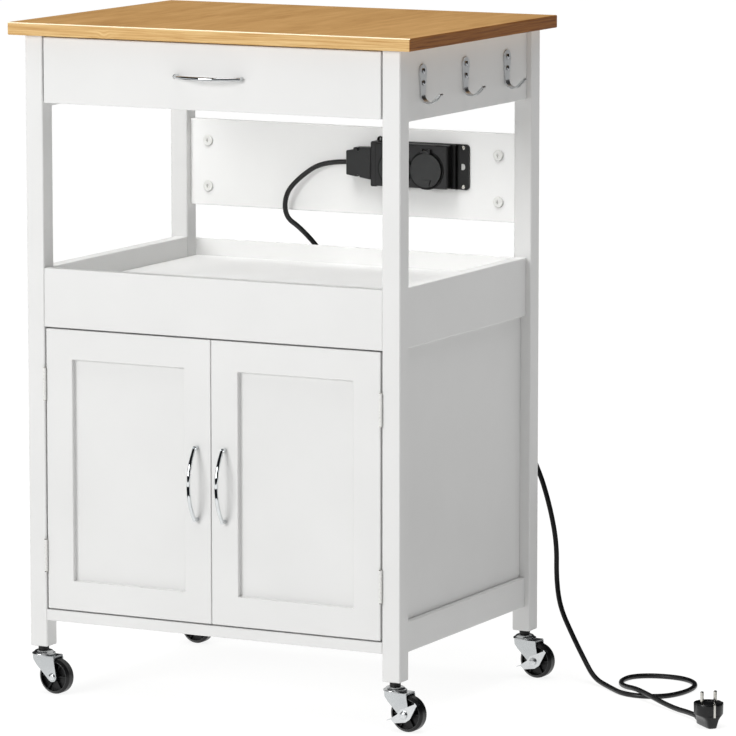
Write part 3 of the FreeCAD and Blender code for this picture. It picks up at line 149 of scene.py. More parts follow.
# White sky, strongest overhead: strength = 0.08 + 3.6 z to the sixth power above the horizon.
# The camera sees plain white instead.
world = bpy.data.worlds.new("white sky")
bpy.context.scene.world = world
world.use_nodes = True
tree = world.node_tree
tree.nodes.clear()
upward = add(tree, "SeparateXYZ", {"Vector": add(tree, "TexCoord").outputs["Generated"]})
above = add(tree, "Math", {0: upward.outputs["Z"], 1: 0.0}, operation="MAXIMUM")
gathered = add(tree, "Math", {0: above.outputs["Value"], 1: 6.0}, operation="POWER")
strength = add(tree, "Math", {0: gathered.outputs["Value"], 1: 3.6, 2: 0.08},
               operation="MULTIPLY_ADD")
sky = add(tree, "Background", {"Strength": strength.outputs["Value"]})
plain = add(tree, "Background", {"Color": linear("#ffffff"), "Strength": 1.0})
seen = add(tree, "LightPath").outputs["Is Camera Ray"]
both = add(tree, "MixShader", {"Fac": seen, 1: sky.outputs["Background"],
                               2: plain.outputs["Background"]})
add(tree, "OutputWorld", {"Surface": both.outputs["Shader"]})
bpy.context.scene.view_settings.view_transform = "Standard"

for name, place_at, aim, wide, tall, watts in (
        ("front left soft box", (-1.743, -5.366, 2.225), (0, 0, 0.5), 2.6, 2.0, 188),
        ("overhead strip", (0.2, -0.3, 3.1), (0, 0, 0.4), 1.5, 0.7, 14),
        ("tray fill", (-0.15, -1.0, 2.8), (0, 0.1, 0.6), 1.2, 1.2, 54)):
    lamp = bpy.data.lights.new(name, "AREA")
    lamp.shape = "RECTANGLE"
    lamp.size, lamp.size_y = wide, tall
    lamp.energy = watts
    holder = bpy.data.objects.new(name, lamp)
    holder.location = place_at
    holder.rotation_euler = (Vector(aim) - Vector(place_at)).to_track_quat("-Z", "Y").to_euler()
    bpy.context.scene.collection.objects.link(holder)
# The last lamp is a fill for the open tray alone, which the top would otherwise shade
lit = bpy.data.collections.new("lit by the tray fill")
shading = bpy.data.collections.new("shading the tray fill")
for name in ("power_rail", "rail_caps", "tray_shelf", "tray_sides", "back_panel"):
    lit.objects.link(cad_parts[name])
for name in ("outlet_housing", "outlet_lid_left", "outlet_lid_right", "cord_connector",
             "tray_sides", "tray_front", "tray_shelf", "rail_caps"):
    shading.objects.link(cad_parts[name])
holder.light_linking.receiver_collection = lit
holder.light_linking.blocker_collection = shading

# The camera stands low at the right front corner, 7 m off with a very long lens
camera = bpy.data.cameras.new("photo camera")
camera.sensor_width = 36
camera.lens = 255.25
camera.clip_start, camera.clip_end = 0.1, 120
holder = bpy.data.objects.new("photo camera", camera)
holder.location = (3.290475, -6.16793, 1.455035)
holder.rotation_euler = (math.radians(90 - 8.2851), 0, math.radians(27.1779))
bpy.context.scene.collection.objects.link(holder)
bpy.context.scene.camera = holder

# ---------------------------------------------------------------- legs
# Four square solid wood posts, sprayed satin white. The paint keeps a breath of the grain
# along their length and the fine orange peel of the spray gun.


def dress(finish, *names):
    """Give CAD nodes this finish."""
    for name in names:
        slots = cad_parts[name].data.materials
        slots.clear()
        slots.append(finish)


def white_paint(name, grain, grain_depth):
    """Sprayed satin paint over wood whose grain runs along the axis with a low scale."""
    material, tree, shader = new_finish(name, Coat_Weight=0.06, Coat_Roughness=0.3)
    place = add(tree, "TexCoord").outputs["Object"]
    haze = add(tree, "TexNoise", {"Vector": place, "Scale": 9.0, "Detail": 3.0})
    tree.links.new(tones(tree, haze.outputs["Fac"], (0.3, "#d8d8d7"), (0.7, "#dbdbda")),
                   shader.inputs["Base Color"])
    # Orange peel of 1.5 mm
    peel = add(tree, "TexNoise", {"Vector": place, "Scale": 650.0, "Detail": 1.0})
    stretch = add(tree, "Mapping", {"Vector": place, "Scale": grain})
    fibre = add(tree, "TexNoise", {"Vector": stretch.outputs["Vector"], "Scale": 1.0,
                                   "Detail": 3.0})
    gloss = add(tree, "MapRange", {"Value": peel.outputs["Fac"], "To Min": 0.4,
                                   "To Max": 0.52})
    tree.links.new(gloss.outputs["Result"], shader.inputs["Roughness"])
    under = add(tree, "Bump", {"Height": fibre.outputs["Fac"], "Strength": 0.3,
                               "Distance": grain_depth})
    relief = add(tree, "Bump", {"Height": peel.outputs["Fac"], "Strength": 0.12,
                                "Distance": 0.00008, "Normal": under.outputs["Normal"]})
    tree.links.new(relief.outputs["Normal"], shader.inputs["Normal"])
    return material


painted_leg = white_paint("satin white paint on solid wood", (300, 300, 9), 0.00012)
dress(painted_leg, "leg_front_left", "leg_front_right", "leg_rear_left", "leg_rear_right")

# ---------------------------------------------------------------- aprons, rails and panels
# Fibreboard cut to size with its edges eased, sprayed the same satin white and doweled
# between the legs. It has no grain, so the eye sees only the soft waviness of the board.
painted_board = white_paint("satin white paint on fibreboard", (60, 60, 60), 0.00003)
dress(painted_board, "apron_left", "apron_right", "apron_rear", "power_rail", "tray_front",
      "tray_sides", "tray_shelf", "side_panels", "lower_side_rails", "bottom_panel",
      "inner_shelf")

# ---------------------------------------------------------------- back sheet
# Thin hardboard, coated white on its good face, tacked to the rear legs. Its back keeps the
# faint weave of the pressing screen.
coated, tree, shader = new_finish("white coated hardboard", Roughness=0.55)
place = add(tree, "TexCoord").outputs["Object"]
stipple = add(tree, "TexVoronoi", {"Vector": place, "Scale": 500.0})
haze = add(tree, "TexNoise", {"Vector": place, "Scale": 7.0, "Detail": 3.0})
tree.links.new(tones(tree, haze.outputs["Fac"], (0.3, "#d7d7d6"), (0.7, "#dbdbda")),
               shader.inputs["Base Color"])
relief = add(tree, "Bump", {"Height": stipple.outputs["Distance"], "Strength": 0.12,
                            "Distance": 0.0002})
tree.links.new(relief.outputs["Normal"], shader.inputs["Normal"])
dress(coated, "back_panel")

# ---------------------------------------------------------------- rail caps
# Four round caps over the rail's joint bolts, moulded in white styrene and pressed in. The
# styrene is a little glossier than the paint round them, and greyer.
moulded_white, tree, shader = new_finish("moulded white styrene", IOR=1.55)
place = add(tree, "TexCoord").outputs["Object"]
grit = add(tree, "TexNoise", {"Vector": place, "Scale": 900.0, "Detail": 2.0})
tree.links.new(tones(tree, grit.outputs["Fac"], (0.2, "#c9c9c6"), (0.8, "#d0d0cd")),
               shader.inputs["Base Color"])
gloss = add(tree, "MapRange", {"Value": grit.outputs["Fac"], "To Min": 0.28, "To Max": 0.42})
tree.links.new(gloss.outputs["Result"], shader.inputs["Roughness"])
dress(moulded_white, "rail_caps")

# ---------------------------------------------------------------- doors and their catch
# Two framed doors in painted fibreboard with a routed field, held by a magnetic catch in a
# styrene case against two plated strike plates.


def metal(name, dark, light, smooth, rough, patch, stretch=(1, 1, 1)):
    """Bare or plated metal. Tone and roughness wander over patches of the given scale."""
    material, tree, shader = new_finish(name, Metallic=1.0)
    place = add(tree, "TexCoord").outputs["Object"]
    drawn = add(tree, "Mapping", {"Vector": place, "Scale": stretch})
    cloud = add(tree, "TexNoise", {"Vector": drawn.outputs["Vector"], "Scale": patch,
                                   "Detail": 4.0})
    tree.links.new(tones(tree, cloud.outputs["Fac"], (0.3, dark), (0.7, light)),
                   shader.inputs["Base Color"])
    gloss = add(tree, "MapRange", {"Value": cloud.outputs["Fac"], "To Min": smooth,
                                   "To Max": rough})
    tree.links.new(gloss.outputs["Result"], shader.inputs["Roughness"])
    relief = add(tree, "Bump", {"Height": cloud.outputs["Fac"], "Strength": 0.08,
                                "Distance": 0.00004})
    tree.links.new(relief.outputs["Normal"], shader.inputs["Normal"])
    return material


# Nickel plate on the strikes, hinge pins and contacts is bright and even
nickel = metal("bright nickel plate", "#c3c1ba", "#d0cec8", 0.14, 0.24, 200.0)
dress(painted_board, "door_left", "door_right")
dress(moulded_white, "magnetic_catch")
dress(nickel, "catch_plate_left", "catch_plate_right")

# ---------------------------------------------------------------- hinges
# Four small butt hinges of rolled steel, enamelled white to match, so only the thin shade
# round each knuckle shows. Their pins stay bright.
enamel, tree, shader = new_finish("white enamelled steel", IOR=1.55)
place = add(tree, "TexCoord").outputs["Object"]
flow = add(tree, "TexNoise", {"Vector": place, "Scale": 300.0, "Detail": 2.0})
tree.links.new(tones(tree, flow.outputs["Fac"], (0.3, "#d9d9d6"), (0.7, "#dfdfdc")),
               shader.inputs["Base Color"])
gloss = add(tree, "MapRange", {"Value": flow.outputs["Fac"], "To Min": 0.22, "To Max": 0.34})
tree.links.new(gloss.outputs["Result"], shader.inputs["Roughness"])
dress(enamel, "hinge_leg_leaves", "hinge_left_door_leaves", "hinge_right_door_leaves")
dress(nickel, "hinge_pins")

# ---------------------------------------------------------------- drawer and runners
# A fibreboard box with a painted front, a hardboard bottom in a groove and two telescopic
# runners of zinc-plated steel. The plating is a cool grey that blurs what it mirrors.
zinc = metal("zinc plated pressed steel", "#bfc2c4", "#c9cccd", 0.2, 0.27, 45.0)
dress(painted_board, "drawer_front", "drawer_sides", "drawer_back")
dress(coated, "drawer_bottom")
dress(zinc, "cabinet_runners", "drawer_runners", "shelf_pins")

# ---------------------------------------------------------------- bow handles
# Three bows bent from 6 mm rod and chromed to a mirror, each held from behind by two screws.
# The plating is so smooth that only dark and light bands of the room show.
chrome = metal("polished chrome plate", "#d2d5d7", "#dcdfe0", 0.03, 0.07, 60.0)
dress(chrome, "drawer_handle", "door_left_handle", "door_right_handle")

# ---------------------------------------------------------------- strap hooks
# Three hooks stamped from 2 mm steel strap and tumbled to a soft shine, each on two pan-head
# screws driven into the right apron. The darker screws show a cross recess.
stamped = metal("tumbled bright steel strap", "#d0d2d4", "#d9dbdc", 0.3, 0.36, 150.0,
                (1, 1, 0.4))
dress(stamped, "hooks")


def joined(parts):
    """One list of points and one of faces from several (points, faces) shapes."""
    points, faces, start = [], [], 0
    for some_points, some_faces in parts:
        points.append(np.asarray(some_points).reshape(-1, 3))
        faces += [[start + number for number in face] for face in some_faces]
        start += len(points[-1])
    return np.concatenate(points), faces


def pan_head(centre, outward, radius, height):
    """Screw head with a cross recess. A square grid u, v is pulled into a disc by
    x = u sqrt(1 - v v / 2), y = v sqrt(1 - u u / 2); it rises to height (1 - 0.4 rho^2), rho
    being the distance from its middle, and drops 0.75 of that inside a cross."""
    steps = np.array((0.12, 0.16, 0.3, 0.5, 0.6, 0.64, 0.85, 0.96, 0.998, 1.0))
    steps = np.concatenate([-steps[::-1], [0.0], steps])
    u, v = np.meshgrid(steps, steps, indexing="ij")
    x, y = u * np.sqrt(1 - v * v / 2), v * np.sqrt(1 - u * u / 2)
    rho = np.hypot(x, y)
    rise = height * (1 - 0.4 * rho ** 2)
    cross = ((np.abs(u) < 0.14) & (np.abs(v) < 0.62)) | ((np.abs(v) < 0.14) & (np.abs(u) < 0.62))
    rise = np.where(cross, 0.25 * height, rise)
    rise = np.where(np.maximum(np.abs(u), np.abs(v)) > 0.9975, 0.0, rise)
    outward = Vector(outward).normalized()
    side = outward.orthogonal().normalized()
    lift = outward.cross(side)
    grid = (np.array(centre) + radius * (x[..., None] * np.array(side)
                                         + y[..., None] * np.array(lift))
            + rise[..., None] * np.array(outward))
    corner = np.arange(grid[..., 0].size).reshape(u.shape)
    faces = np.stack([corner[:-1, :-1], corner[1:, :-1], corner[1:, 1:], corner[:-1, 1:]], -1)
    return grid.reshape(-1, 3), faces.reshape(-1, 4).tolist()


screw_steel = metal("zinc plated screw steel", "#9b9da0", "#b4b6b9", 0.14, 0.24, 500.0)
hook_heads = new_piece("hook_screw_heads", *joined([
    pan_head((0.2686, y, z), (1, 0, 0), 0.0033, 0.0017)
    for y in (-0.1247, 0.00125, 0.1272) for z in (0.8452, 0.861)]), screw_steel, "cart", False)
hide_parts("hook_screws")

# ---------------------------------------------------------------- wooden top
# Board faced with honey-coloured wood whose grain runs from front to back, with long-grain
# bands glued round its edges, all under a satin lacquer. It is screwed down from below.
faced_wood, tree, shader = new_finish("lacquered wood-faced board", Specular_IOR_Level=0.2,
                                      Coat_Weight=0.05, Coat_Roughness=0.3)
place = add(tree, "TexCoord").outputs["Object"]
split = add(tree, "SeparateXYZ", {"Vector": place})
# Face: soft bands about 50 mm wide, streaks of 10 mm and pores of 1 mm, drawn out along Y
bands = add(tree, "Mapping", {"Vector": place, "Scale": (20, 2.2, 4)})
bands = add(tree, "TexNoise", {"Vector": bands.outputs["Vector"], "Scale": 1.0, "Detail": 2.0,
                               "Distortion": 0.9})
streaks = add(tree, "Mapping", {"Vector": place, "Scale": (80, 13, 9)})
streaks = add(tree, "TexNoise", {"Vector": streaks.outputs["Vector"], "Scale": 1.0,
                                 "Detail": 3.0, "Distortion": 0.5})
pores = add(tree, "Mapping", {"Vector": place, "Scale": (1000, 40, 40)})
pores = add(tree, "TexNoise", {"Vector": pores.outputs["Vector"], "Scale": 1.0, "Detail": 2.0})
figure = add(tree, "Mix", {"Factor": 0.5, 2: bands.outputs["Fac"], 3: streaks.outputs["Fac"]})
figure = add(tree, "Mix", {"Factor": 0.2, 2: figure.outputs[0], 3: pores.outputs["Fac"]})
face_colour = tones(tree, figure.outputs[0], (0.34, "#ad7f49"), (0.45, "#be9158"),
                    (0.54, "#c6995f"), (0.66, "#cfa269"))
# Edge bands: growth lines 1.5 mm apart along the edge, bent round one knot on the front
knot = add(tree, "VectorMath", {0: place, 1: (-0.158, -0.2148, 0.8935)}, operation="DISTANCE")
bend = add(tree, "MapRange", {"Value": knot.outputs["Value"], "From Min": 0.0,
                              "From Max": 0.013, "To Min": 0.0045, "To Max": 0.0},
           interpolation_type="SMOOTHSTEP")
level = add(tree, "Math", {0: split.outputs["Z"], 1: bend.outputs["Result"]}, operation="ADD")
drawn = add(tree, "CombineXYZ", {"X": split.outputs["X"], "Y": split.outputs["Y"],
                                 "Z": level.outputs["Value"]})
lines = add(tree, "Mapping", {"Vector": drawn.outputs["Vector"], "Scale": (11, 11, 480)})
lines = add(tree, "TexNoise", {"Vector": lines.outputs["Vector"], "Scale": 1.0, "Detail": 4.0,
                               "Roughness": 0.65, "Distortion": 0.5})
front_colour = tones(tree, lines.outputs["Fac"], (0.32, "#b4884f"), (0.5, "#cba46a"),
                     (0.66, "#dbba82"))
side_colour = tones(tree, lines.outputs["Fac"], (0.32, "#6e3f18"), (0.5, "#8a5624"),
                    (0.66, "#9b6731"))
on_front = add(tree, "MapRange", {"Value": split.outputs["Y"], "From Min": -0.2138,
                                  "From Max": -0.2142, "To Min": 0.0, "To Max": 1.0})
mixed = add(tree, "Mix", {6: face_colour, 7: front_colour, 0: on_front.outputs["Result"]},
            data_type="RGBA")
on_side = add(tree, "MapRange", {"Value": split.outputs["X"], "From Min": 0.2930,
                                 "From Max": 0.2934, "To Min": 0.0, "To Max": 1.0})
mixed = add(tree, "Mix", {6: mixed.outputs[2], 7: side_colour, 0: on_side.outputs["Result"]},
            data_type="RGBA")
# The eased front arris, 1.3 mm wide, carries a painted highlight: a pale line for its glint
arris_highlight_top = add(tree, "MapRange", {"Value": split.outputs["Z"], "From Min": 0.9084,
                                  "From Max": 0.9090, "To Min": 0.0, "To Max": 0.95})
arris_highlight_front = add(tree, "MapRange", {"Value": split.outputs["Y"], "From Min": -0.2134,
                                    "From Max": -0.2139, "To Min": 0.0, "To Max": 1.0})
painted_arris_highlight = add(tree, "Math", {0: arris_highlight_top.outputs["Result"], 1: arris_highlight_front.outputs["Result"]},
            operation="MULTIPLY")
mixed = add(tree, "Mix", {6: mixed.outputs[2], 7: linear("#fff2d2"), 0: painted_arris_highlight.outputs["Value"]},
            data_type="RGBA")
tree.links.new(mixed.outputs[2], shader.inputs["Base Color"])
gloss = add(tree, "MapRange", {"Value": streaks.outputs["Fac"], "To Min": 0.62, "To Max": 0.5})
tree.links.new(gloss.outputs["Result"], shader.inputs["Roughness"])
relief = add(tree, "Bump", {"Height": pores.outputs["Fac"], "Strength": 0.2,
                            "Distance": 0.00015})
tree.links.new(relief.outputs["Normal"], shader.inputs["Normal"])
dress(faced_wood, "worktop")

# ---------------------------------------------------------------- outlet unit
# Flanged housing moulded in black ABS, spark-textured to a satin, with two sprung round lids
# over its socket wells. It is screwed to the rail through its flange.


def lathe(profile, centre, axis, sides=48):
    """Surface of revolution: radius r and height h of each profile point, in millimetres,
    give centre + h axis + r (cos t side + sin t cross), t all round."""
    axis = Vector(axis).normalized()
    side = axis.orthogonal().normalized()
    cross = axis.cross(side)
    r, h = np.array(profile, float).T / 1000
    t = np.linspace(0, 2 * np.pi, sides, endpoint=False)
    points = (np.array(centre) + h[:, None, None] * np.array(axis)
              + np.outer(r, np.cos(t))[..., None] * np.array(side)
              + np.outer(r, np.sin(t))[..., None] * np.array(cross))
    return points.reshape(-1, 3), ring_faces(len(r), sides, closed_ends=True)


def lathe_ring(profile, centre, axis, sides):
    """The same for a ring, whose profile closes on itself and has no caps."""
    points, faces = lathe(profile, centre, axis, sides)
    last = (len(profile) - 1) * sides
    return points, faces[:-2] + [[last + k, last + (k + 1) % sides, (k + 1) % sides, k]
                                 for k in range(sides)]


def black_plastic(name, dark, light, smooth, rough, grain, depth):
    """Moulded black plastic: a pitted skin of the given grain over a faintly mottled tone."""
    material, tree, shader = new_finish(name, IOR=1.42)
    place = add(tree, "TexCoord").outputs["Object"]
    pits = add(tree, "TexNoise", {"Vector": place, "Scale": grain, "Detail": 3.0,
                                  "Roughness": 0.7})
    cloud = add(tree, "TexNoise", {"Vector": place, "Scale": 60.0, "Detail": 2.0})
    tree.links.new(tones(tree, cloud.outputs["Fac"], (0.3, dark), (0.7, light)),
                   shader.inputs["Base Color"])
    gloss = add(tree, "MapRange", {"Value": pits.outputs["Fac"], "To Min": smooth,
                                   "To Max": rough})
    tree.links.new(gloss.outputs["Result"], shader.inputs["Roughness"])
    relief = add(tree, "Bump", {"Height": pits.outputs["Fac"], "Strength": 0.25,
                                "Distance": depth})
    tree.links.new(relief.outputs["Normal"], shader.inputs["Normal"])
    return material


moulded_abs, tree, shader = new_finish("spark-textured black ABS", IOR=1.38)
place = add(tree, "TexCoord").outputs["Object"]
split = add(tree, "SeparateXYZ", {"Vector": place})
pits = add(tree, "TexNoise", {"Vector": place, "Scale": 1300.0, "Detail": 3.0,
                              "Roughness": 0.7})
cloud = add(tree, "TexNoise", {"Vector": place, "Scale": 60.0, "Detail": 2.0})
face_tone = tones(tree, cloud.outputs["Fac"], (0.3, "#1d1d1e"), (0.7, "#232324"))
# Behind the front panel the tone is a deeper black: painted shade on the set-back step and
# flange
painted_panel_shade = add(tree, "MapRange", {"Value": split.outputs["Y"], "From Min": 0.1825,
                              "From Max": 0.1850, "To Min": 0.0, "To Max": 1.0})
toned = add(tree, "Mix", {6: face_tone, 7: linear("#060606"), 0: painted_panel_shade.outputs["Result"]},
            data_type="RGBA")
tree.links.new(toned.outputs[2], shader.inputs["Base Color"])
gloss = add(tree, "MapRange", {"Value": pits.outputs["Fac"], "To Min": 0.3, "To Max": 0.46})
tree.links.new(gloss.outputs["Result"], shader.inputs["Roughness"])
relief = add(tree, "Bump", {"Height": pits.outputs["Fac"], "Strength": 0.25,
                            "Distance": 0.00008})
tree.links.new(relief.outputs["Normal"], shader.inputs["Normal"])
dress(moulded_abs, "outlet_housing")
lid_abs = black_plastic("satin black ABS", "#232424", "#292a2a", 0.34, 0.46, 1300.0, 0.00008)
dress(lid_abs, "outlet_lid_left", "outlet_lid_right")

flange_heads = new_piece("outlet_screw_heads", *joined([
    pan_head((0.16795, 0.1993, z), (0, -1, 0), 0.0028, 0.0017) for z in (0.6727, 0.7264)]),
    nickel, "cart", False)
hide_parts("outlet_screws")

# A black ring round each lid on the front panel is painted shade, the shadow of the lid's pocket
pocket_shade_black = black_plastic("matt black painted pocket shade", "#030303", "#060606", 0.7, 0.85, 900.0,
                              0.00005)
pocket_shade_profile = ((22.0, 0.02), (26.4, 0.02), (26.6, 0.12), (26.2, 0.22), (22.0, 0.22))
front_panel_y, lid_height = 0.18025, 0.6945
new_piece("outlet_pocket_shade_rings", *joined([
    lathe_ring(pocket_shade_profile, (middle, front_panel_y, lid_height), (0, -1, 0), 72)
    for middle in (0.07275, 0.12075)]), pocket_shade_black, "cart")

# A pale moulded backing shows through the D-shaped hole in the flange
d_hole = np.array([(-2.7, -3.4), (-2.2, -4.3), (0.2, -4.2), (2.0, -3.0), (2.8, -1.0),
                   (2.8, 1.2), (2.0, 3.0), (0.2, 4.2), (-2.2, 4.3), (-2.7, 3.4)]) / 1000
backing = np.stack([np.column_stack([d_hole[:, 0] + 0.16765, np.full(10, depth),
                                     d_hole[:, 1] + 0.6998]) for depth in (0.1994, 0.19905)])
corner = np.arange(20).reshape(2, 10)
rim = np.stack([corner[0], np.roll(corner[0], -1), np.roll(corner[1], -1), corner[1]], -1)
new_piece("outlet_backing", backing, rim.tolist() + [corner[1].tolist()],
          moulded_white, "cart", False)

# ---------------------------------------------------------------- cable connector
# Tapered two-part shell clipped to the housing's left end, in the same black ABS. It grips
# the cord and is the lead's strain relief.
connector_abs = black_plastic("satin black ABS shell", "#1a1b1b", "#202121", 0.3, 0.42,
                              1300.0, 0.00008)
dress(connector_abs, "cord_connector")

# ---------------------------------------------------------------- mains cord
# Round flexible lead in a black vinyl sheath, 7 mm thick. It hangs limp from its connector,
# slips down behind the back sheet and lies in one loop on the floor.
sheath, tree, shader = new_finish("black flexible vinyl sheath", IOR=1.45)
place = add(tree, "TexCoord").outputs["Object"]
# Faint scuffs of about 4 mm and a matt skin of 0.4 mm that softens the highlight
scuff = add(tree, "TexNoise", {"Vector": place, "Scale": 250.0, "Detail": 3.0})
skin = add(tree, "TexNoise", {"Vector": place, "Scale": 2500.0, "Detail": 1.0})
tree.links.new(tones(tree, scuff.outputs["Fac"], (0.3, "#060607"), (0.75, "#0b0b0c")),
               shader.inputs["Base Color"])
gloss = add(tree, "MapRange", {"Value": scuff.outputs["Fac"], "To Min": 0.32, "To Max": 0.44})
tree.links.new(gloss.outputs["Result"], shader.inputs["Roughness"])
relief = add(tree, "Bump", {"Height": skin.outputs["Fac"], "Strength": 0.12,
                            "Distance": 0.0002})
tree.links.new(relief.outputs["Normal"], shader.inputs["Normal"])

cord_route = np.array([
    (0.65, 191.25, 699.5), (-42.85, 191.25, 699.5), (-80.85, 188.25, 674.0),
    (-101.35, 186.25, 650.0), (-104.35, 191.75, 618.0), (-95.85, 221.25, 600.0),
    (-76.85, 245.25, 567.0), (-40.85, 241.25, 516.0), (24.15, 237.25, 468.0),
    (99.15, 234.25, 424.0), (176.15, 233.25, 387.0), (234.15, 234.25, 340.0),
    (266.15, 235.25, 286.0), (284.15, 235.25, 233.0), (294.65, 235.25, 182.0),
    (294.65, 234.25, 134.0), (303.15, 228.25, 96.0), (324.15, 221.25, 62.0),
    (346.15, 212.25, 32.0), (370.15, 196.25, 8.0), (402.15, 173.25, 3.5),
    (444.15, 134.25, 3.5), (494.15, 142.25, 3.5), (511.15, 189.25, 3.5),
    (505.15, 241.25, 3.5), (472.15, 272.25, 3.5), (428.15, 271.25, 3.5),
    (402.15, 252.25, 3.5), (400.15, 222.25, 3.5), (409.15, 198.25, 3.8),
    (427.15, 175.25, 5.6), (456.15, 144.25, 11.3), (484.15, 120.25, 10.8),
    (519.15, 95.25, 6.4), (549.15, 73.25, 5.2), (574.56, 54.40, 7.0),
    (599.83, 31.65, 7.4)]) / 1000
cord_line = bpy.data.curves.new("mains_cord", "CURVE")
cord_line.dimensions = "3D"
cord_line.bevel_depth = 0.0035
cord_line.bevel_resolution = 4
cord_line.use_fill_caps = True
cord_line.resolution_u = 8
cord_line.materials.append(sheath)
spline = cord_line.splines.new("NURBS")
spline.points.add(len(cord_route) - 1)
spline.points.foreach_set("co", np.column_stack([cord_route, np.ones(len(cord_route))]).ravel())
spline.order_u = 3
spline.use_endpoint_u = True
mains_cord = bpy.data.objects.new("mains_cord", cord_line)
bpy.context.scene.collection.objects.link(mains_cord)
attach(mains_cord, "cart")
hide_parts("cord")

# ---------------------------------------------------------------- plug
# Angled plug moulded in black vinyl, lying on its back: a round shell with a guard rim that
# narrows into a spine along the cord, two round pins and two earth strips of nickel brass.

# Soft vinyl has a satin skin of 1 mm grain
plug_vinyl = black_plastic("moulded black vinyl", "#050606", "#0b0c0d", 0.26, 0.38, 1000.0,
                           0.00006)
plug_at = np.array((0.61915, 0.01425, 0))
plug_lean = math.radians(-42)
plug_ahead = np.array((math.cos(plug_lean), math.sin(plug_lean), 0))
plug_aside = np.array((-math.sin(plug_lean), math.cos(plug_lean), 0))
# One ring per row: height, half length, half width, centre ahead of the axis, squareness
plug_rows = np.array([
    (0.0, 19.6, 5.6, -5.6, 6), (0.7, 20.6, 6.6, -5.6, 6), (6, 21.4, 7.6, -5.0, 6),
    (11, 21.6, 9.2, -4.0, 5), (14.5, 21.0, 12.8, -2.2, 3.2), (16.6, 19.8, 17.0, -0.4, 2.3),
    (17.6, 19.2, 18.9, 0, 2), (18.2, 19.3, 19.3, 0, 2), (30, 19.6, 19.6, 0, 2),
    (32.4, 19.6, 19.6, 0, 2), (33, 19.0, 19.0, 0, 2), (33, 18.0, 18.0, 0, 2),
    (32.5, 17.5, 17.5, 0, 2), (30.4, 17.3, 17.3, 0, 2), (30, 16.7, 16.7, 0, 2),
    (30, 3, 3, 0, 2)])
level, long_half, wide_half, centre, square = (column[:, None] for column in plug_rows.T)
t = np.linspace(0, 2 * np.pi, 96, endpoint=False)[None, :]
# Superellipse: x = c + a sign(cos) |cos|^(2/n), y = b sign(sin) |sin|^(2/n); two keying
# notches are pressed 1.6 mm into the shell at right angles to the cord
notch = np.exp(-((np.abs(np.abs(t - np.pi) - np.pi / 2)) / 0.13) ** 4)
notch = 1 - 0.09 * notch * np.clip((level - 20) / 2, 0, 1) * (long_half > 18.2)
ahead = centre + notch * long_half * np.sign(np.cos(t)) * np.abs(np.cos(t)) ** (2 / square)
aside = notch * wide_half * np.sign(np.sin(t)) * np.abs(np.sin(t)) ** (2 / square)
shell = (plug_at + (ahead[..., None] * plug_ahead + aside[..., None] * plug_aside
                    + (level + 0 * t)[..., None] * np.array((0, 0, 1))) / 1000)
# Boot over the cord: a cone with three grooves
boot = lathe(((3.4, 12), (6.0, 12), (6.0, 22), (5.9, 24), (5.3, 24.5), (5.3, 25.6),
              (5.7, 26.1), (5.5, 28), (4.9, 28.5), (4.9, 29.6), (5.2, 30.1), (5.0, 32),
              (4.4, 32.5), (4.4, 33.5), (4.8, 34), (4.4, 36), (3.6, 36)),
             plug_at + np.array((0, 0, 0.0072)), -plug_ahead)
plug_moulding = new_piece("plug_moulding", *joined([
    (shell, ring_faces(len(plug_rows), 96, closed_ends=True)), boot]), plug_vinyl, "cart")
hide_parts("plug_body")

# Pins with rounded tips, and the two earth strips bent over the rim
half_pin_pitch = 0.0095
pins = [lathe(((2.35, 28), (2.35, 46.3), (2.15, 47.2), (1.6, 47.8), (0.8, 48)),
              plug_at + side * half_pin_pitch * plug_aside, (0, 0, 1), 24)
        for side in (-1, 1)]
strip_outline = np.array([(16.9, 30.6), (17.1, 33), (19.4, 33), (19.7, 32.4), (19.7, 15.4),
                          (18.9, 15.0), (18.7, 15.8), (18.7, 31.6), (17.9, 32.2),
                          (17.9, 30.6)]) / 1000
corner = np.arange(20).reshape(2, 10)
edges = np.stack([corner[0], np.roll(corner[0], -1), np.roll(corner[1], -1), corner[1]], -1)
strip_faces = edges.tolist() + [corner[0, ::-1].tolist(), corner[1].tolist()]
strips = []
for side in (-1, 1):
    strip = np.stack([plug_at + side * strip_outline[:, :1] * plug_ahead
                      + edge * side * 0.0015 * plug_aside
                      + strip_outline[:, 1:] * np.array((0, 0, 1)) for edge in (-1, 1)])
    strips.append((strip, strip_faces))
plug_contacts = new_piece("plug_contacts", *joined(pins + strips), nickel, "cart", False)
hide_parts("plug_pins")

# ---------------------------------------------------------------- caster stems and bushes
# Steel stem and ball race pressed from zinc-plated sheet: a rolled lip, a step and a crown.
# A black bush keeps the race off the leg, and a rivet closes the stem under the fork.
race_profile = (
    (0.5, 47.9), (5.6, 47.9), (6, 48.3), (6, 49.6), (4, 49.7), (4, 52.4), (15.2, 52.4),
    (15.9, 52.8), (16, 53.6), (15.7, 54.4), (14.9, 54.9), (13.9, 54.9), (13.4, 55.3),
    (13.0, 56.4), (12.0, 57.5), (10.6, 58.2), (9, 58.5), (8, 58.65), (4, 58.65), (4, 93.6),
    (3.4, 94), (0.5, 94))
leg_axes = {"front_left": (-0.27285, -0.18975), "front_right": (0.26115, -0.18975),
            "rear_left": (-0.27285, 0.20425), "rear_right": (0.26115, 0.20425)}
races = [lathe(race_profile, axis + (0,), (0, 0, 1)) for axis in leg_axes.values()]
race_zinc = metal("zinc plated rolled steel", "#c3c5c6", "#cfd1d2", 0.18, 0.28, 60.0)
caster_races = new_piece("caster_races", *joined(races), race_zinc, "cart")
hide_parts("caster_stems")
bush_nylon = black_plastic("black nylon", "#050505", "#0a0a0a", 0.4, 0.55, 900.0, 0.00005)
dress(bush_nylon, "caster_bushes")

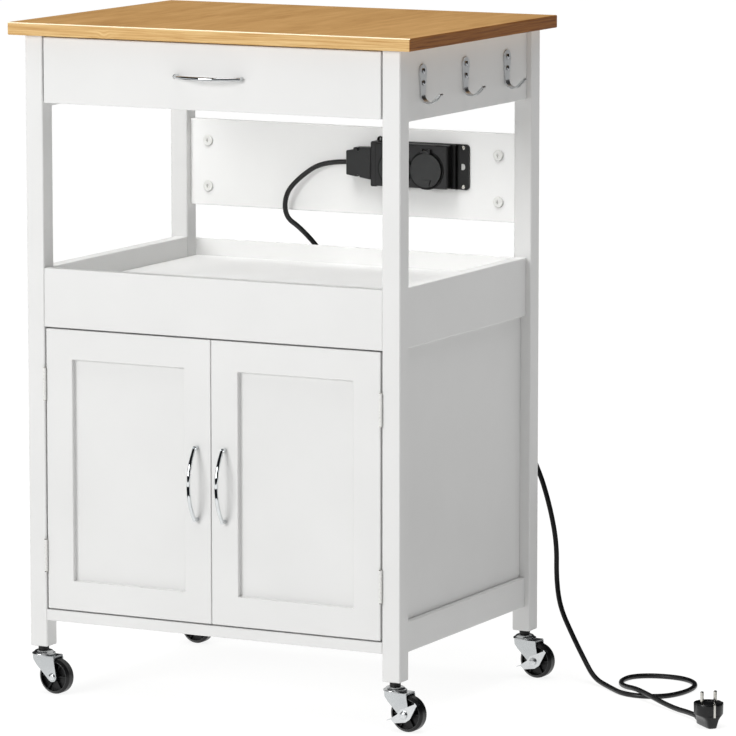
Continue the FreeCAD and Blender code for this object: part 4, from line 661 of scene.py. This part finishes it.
# ---------------------------------------------------------------- caster forks
# Forks bent from one zinc-plated sheet, with the axle riveted through both cheeks. The near
# end of the axle has a round head, smoother and brighter than the fork.
dress(zinc, "caster_fork_front_left", "caster_fork_front_right", "caster_fork_rear_left",
      "caster_fork_rear_right")
rivet_steel = metal("polished rivet steel", "#d3d5d7", "#dddfe0", 0.28, 0.36, 300.0)
wheel_radius, trail = 0.024, 0.0205
trail_turn = math.radians(-3)
trail_ahead = np.array((math.cos(trail_turn), math.sin(trail_turn), 0))
trail_aside = np.array((-math.sin(trail_turn), math.cos(trail_turn), 0))
hubs = {corner: np.array(axis + (wheel_radius,)) + trail * trail_ahead
        for corner, axis in leg_axes.items()}
rivet_profile = ((4.7, 0), (5.1, 0.25), (5.0, 0.8), (4.4, 1.5), (3.3, 2.05), (1.8, 2.3),
                 (0.4, 2.36))
for corner, hub in hubs.items():
    # Only the right-hand casters have a lever between the fork and the head
    reach = 0.01485 if corner.endswith("right") else 0.012
    new_piece("caster_rivet_" + corner,
              *lathe(rivet_profile, hub - reach * trail_aside, -trail_aside, 32),
              rivet_steel, "swivel_" + corner)

# ---------------------------------------------------------------- wheels
# Hard black polypropylene wheels, moulded in one piece with six ribs. A thin bead runs round
# the rim on both sides; its light grey is a painted highlight, the glint at the rim's inner
# edge.
wheel_plastic = black_plastic("black polypropylene", "#030304", "#060607", 0.3, 0.42,
                              700.0, 0.00005)
bead_highlight_plastic = black_plastic("polypropylene bead with painted highlight", "#3a3b3c", "#484949", 0.2, 0.3, 700.0,
                          0.00003)
round_bead = np.linspace(0, 2 * np.pi, 8, endpoint=False)
bead_profile = [(20.2 + 0.38 * math.cos(a), 8.25 + 0.38 * math.sin(a)) for a in round_bead]
for corner, hub in hubs.items():
    dress(wheel_plastic, "caster_wheel_" + corner)
    beads = [lathe_ring(bead_profile, hub, side * trail_aside, 64) for side in (-1, 1)]
    new_piece("caster_bead_" + corner, *joined(beads), bead_highlight_plastic, "wheel_" + corner)

# ---------------------------------------------------------------- brake levers
# Foot levers cut from zinc-plated sheet on the two right-hand casters, with a shoe bent over
# the tread. Cutting leaves them brighter than the forks.
lever_zinc = metal("zinc plated cut sheet", "#cfd1d3", "#dadcdd", 0.14, 0.22, 80.0)
dress(lever_zinc, "brake_lever_front_right", "brake_lever_rear_right")
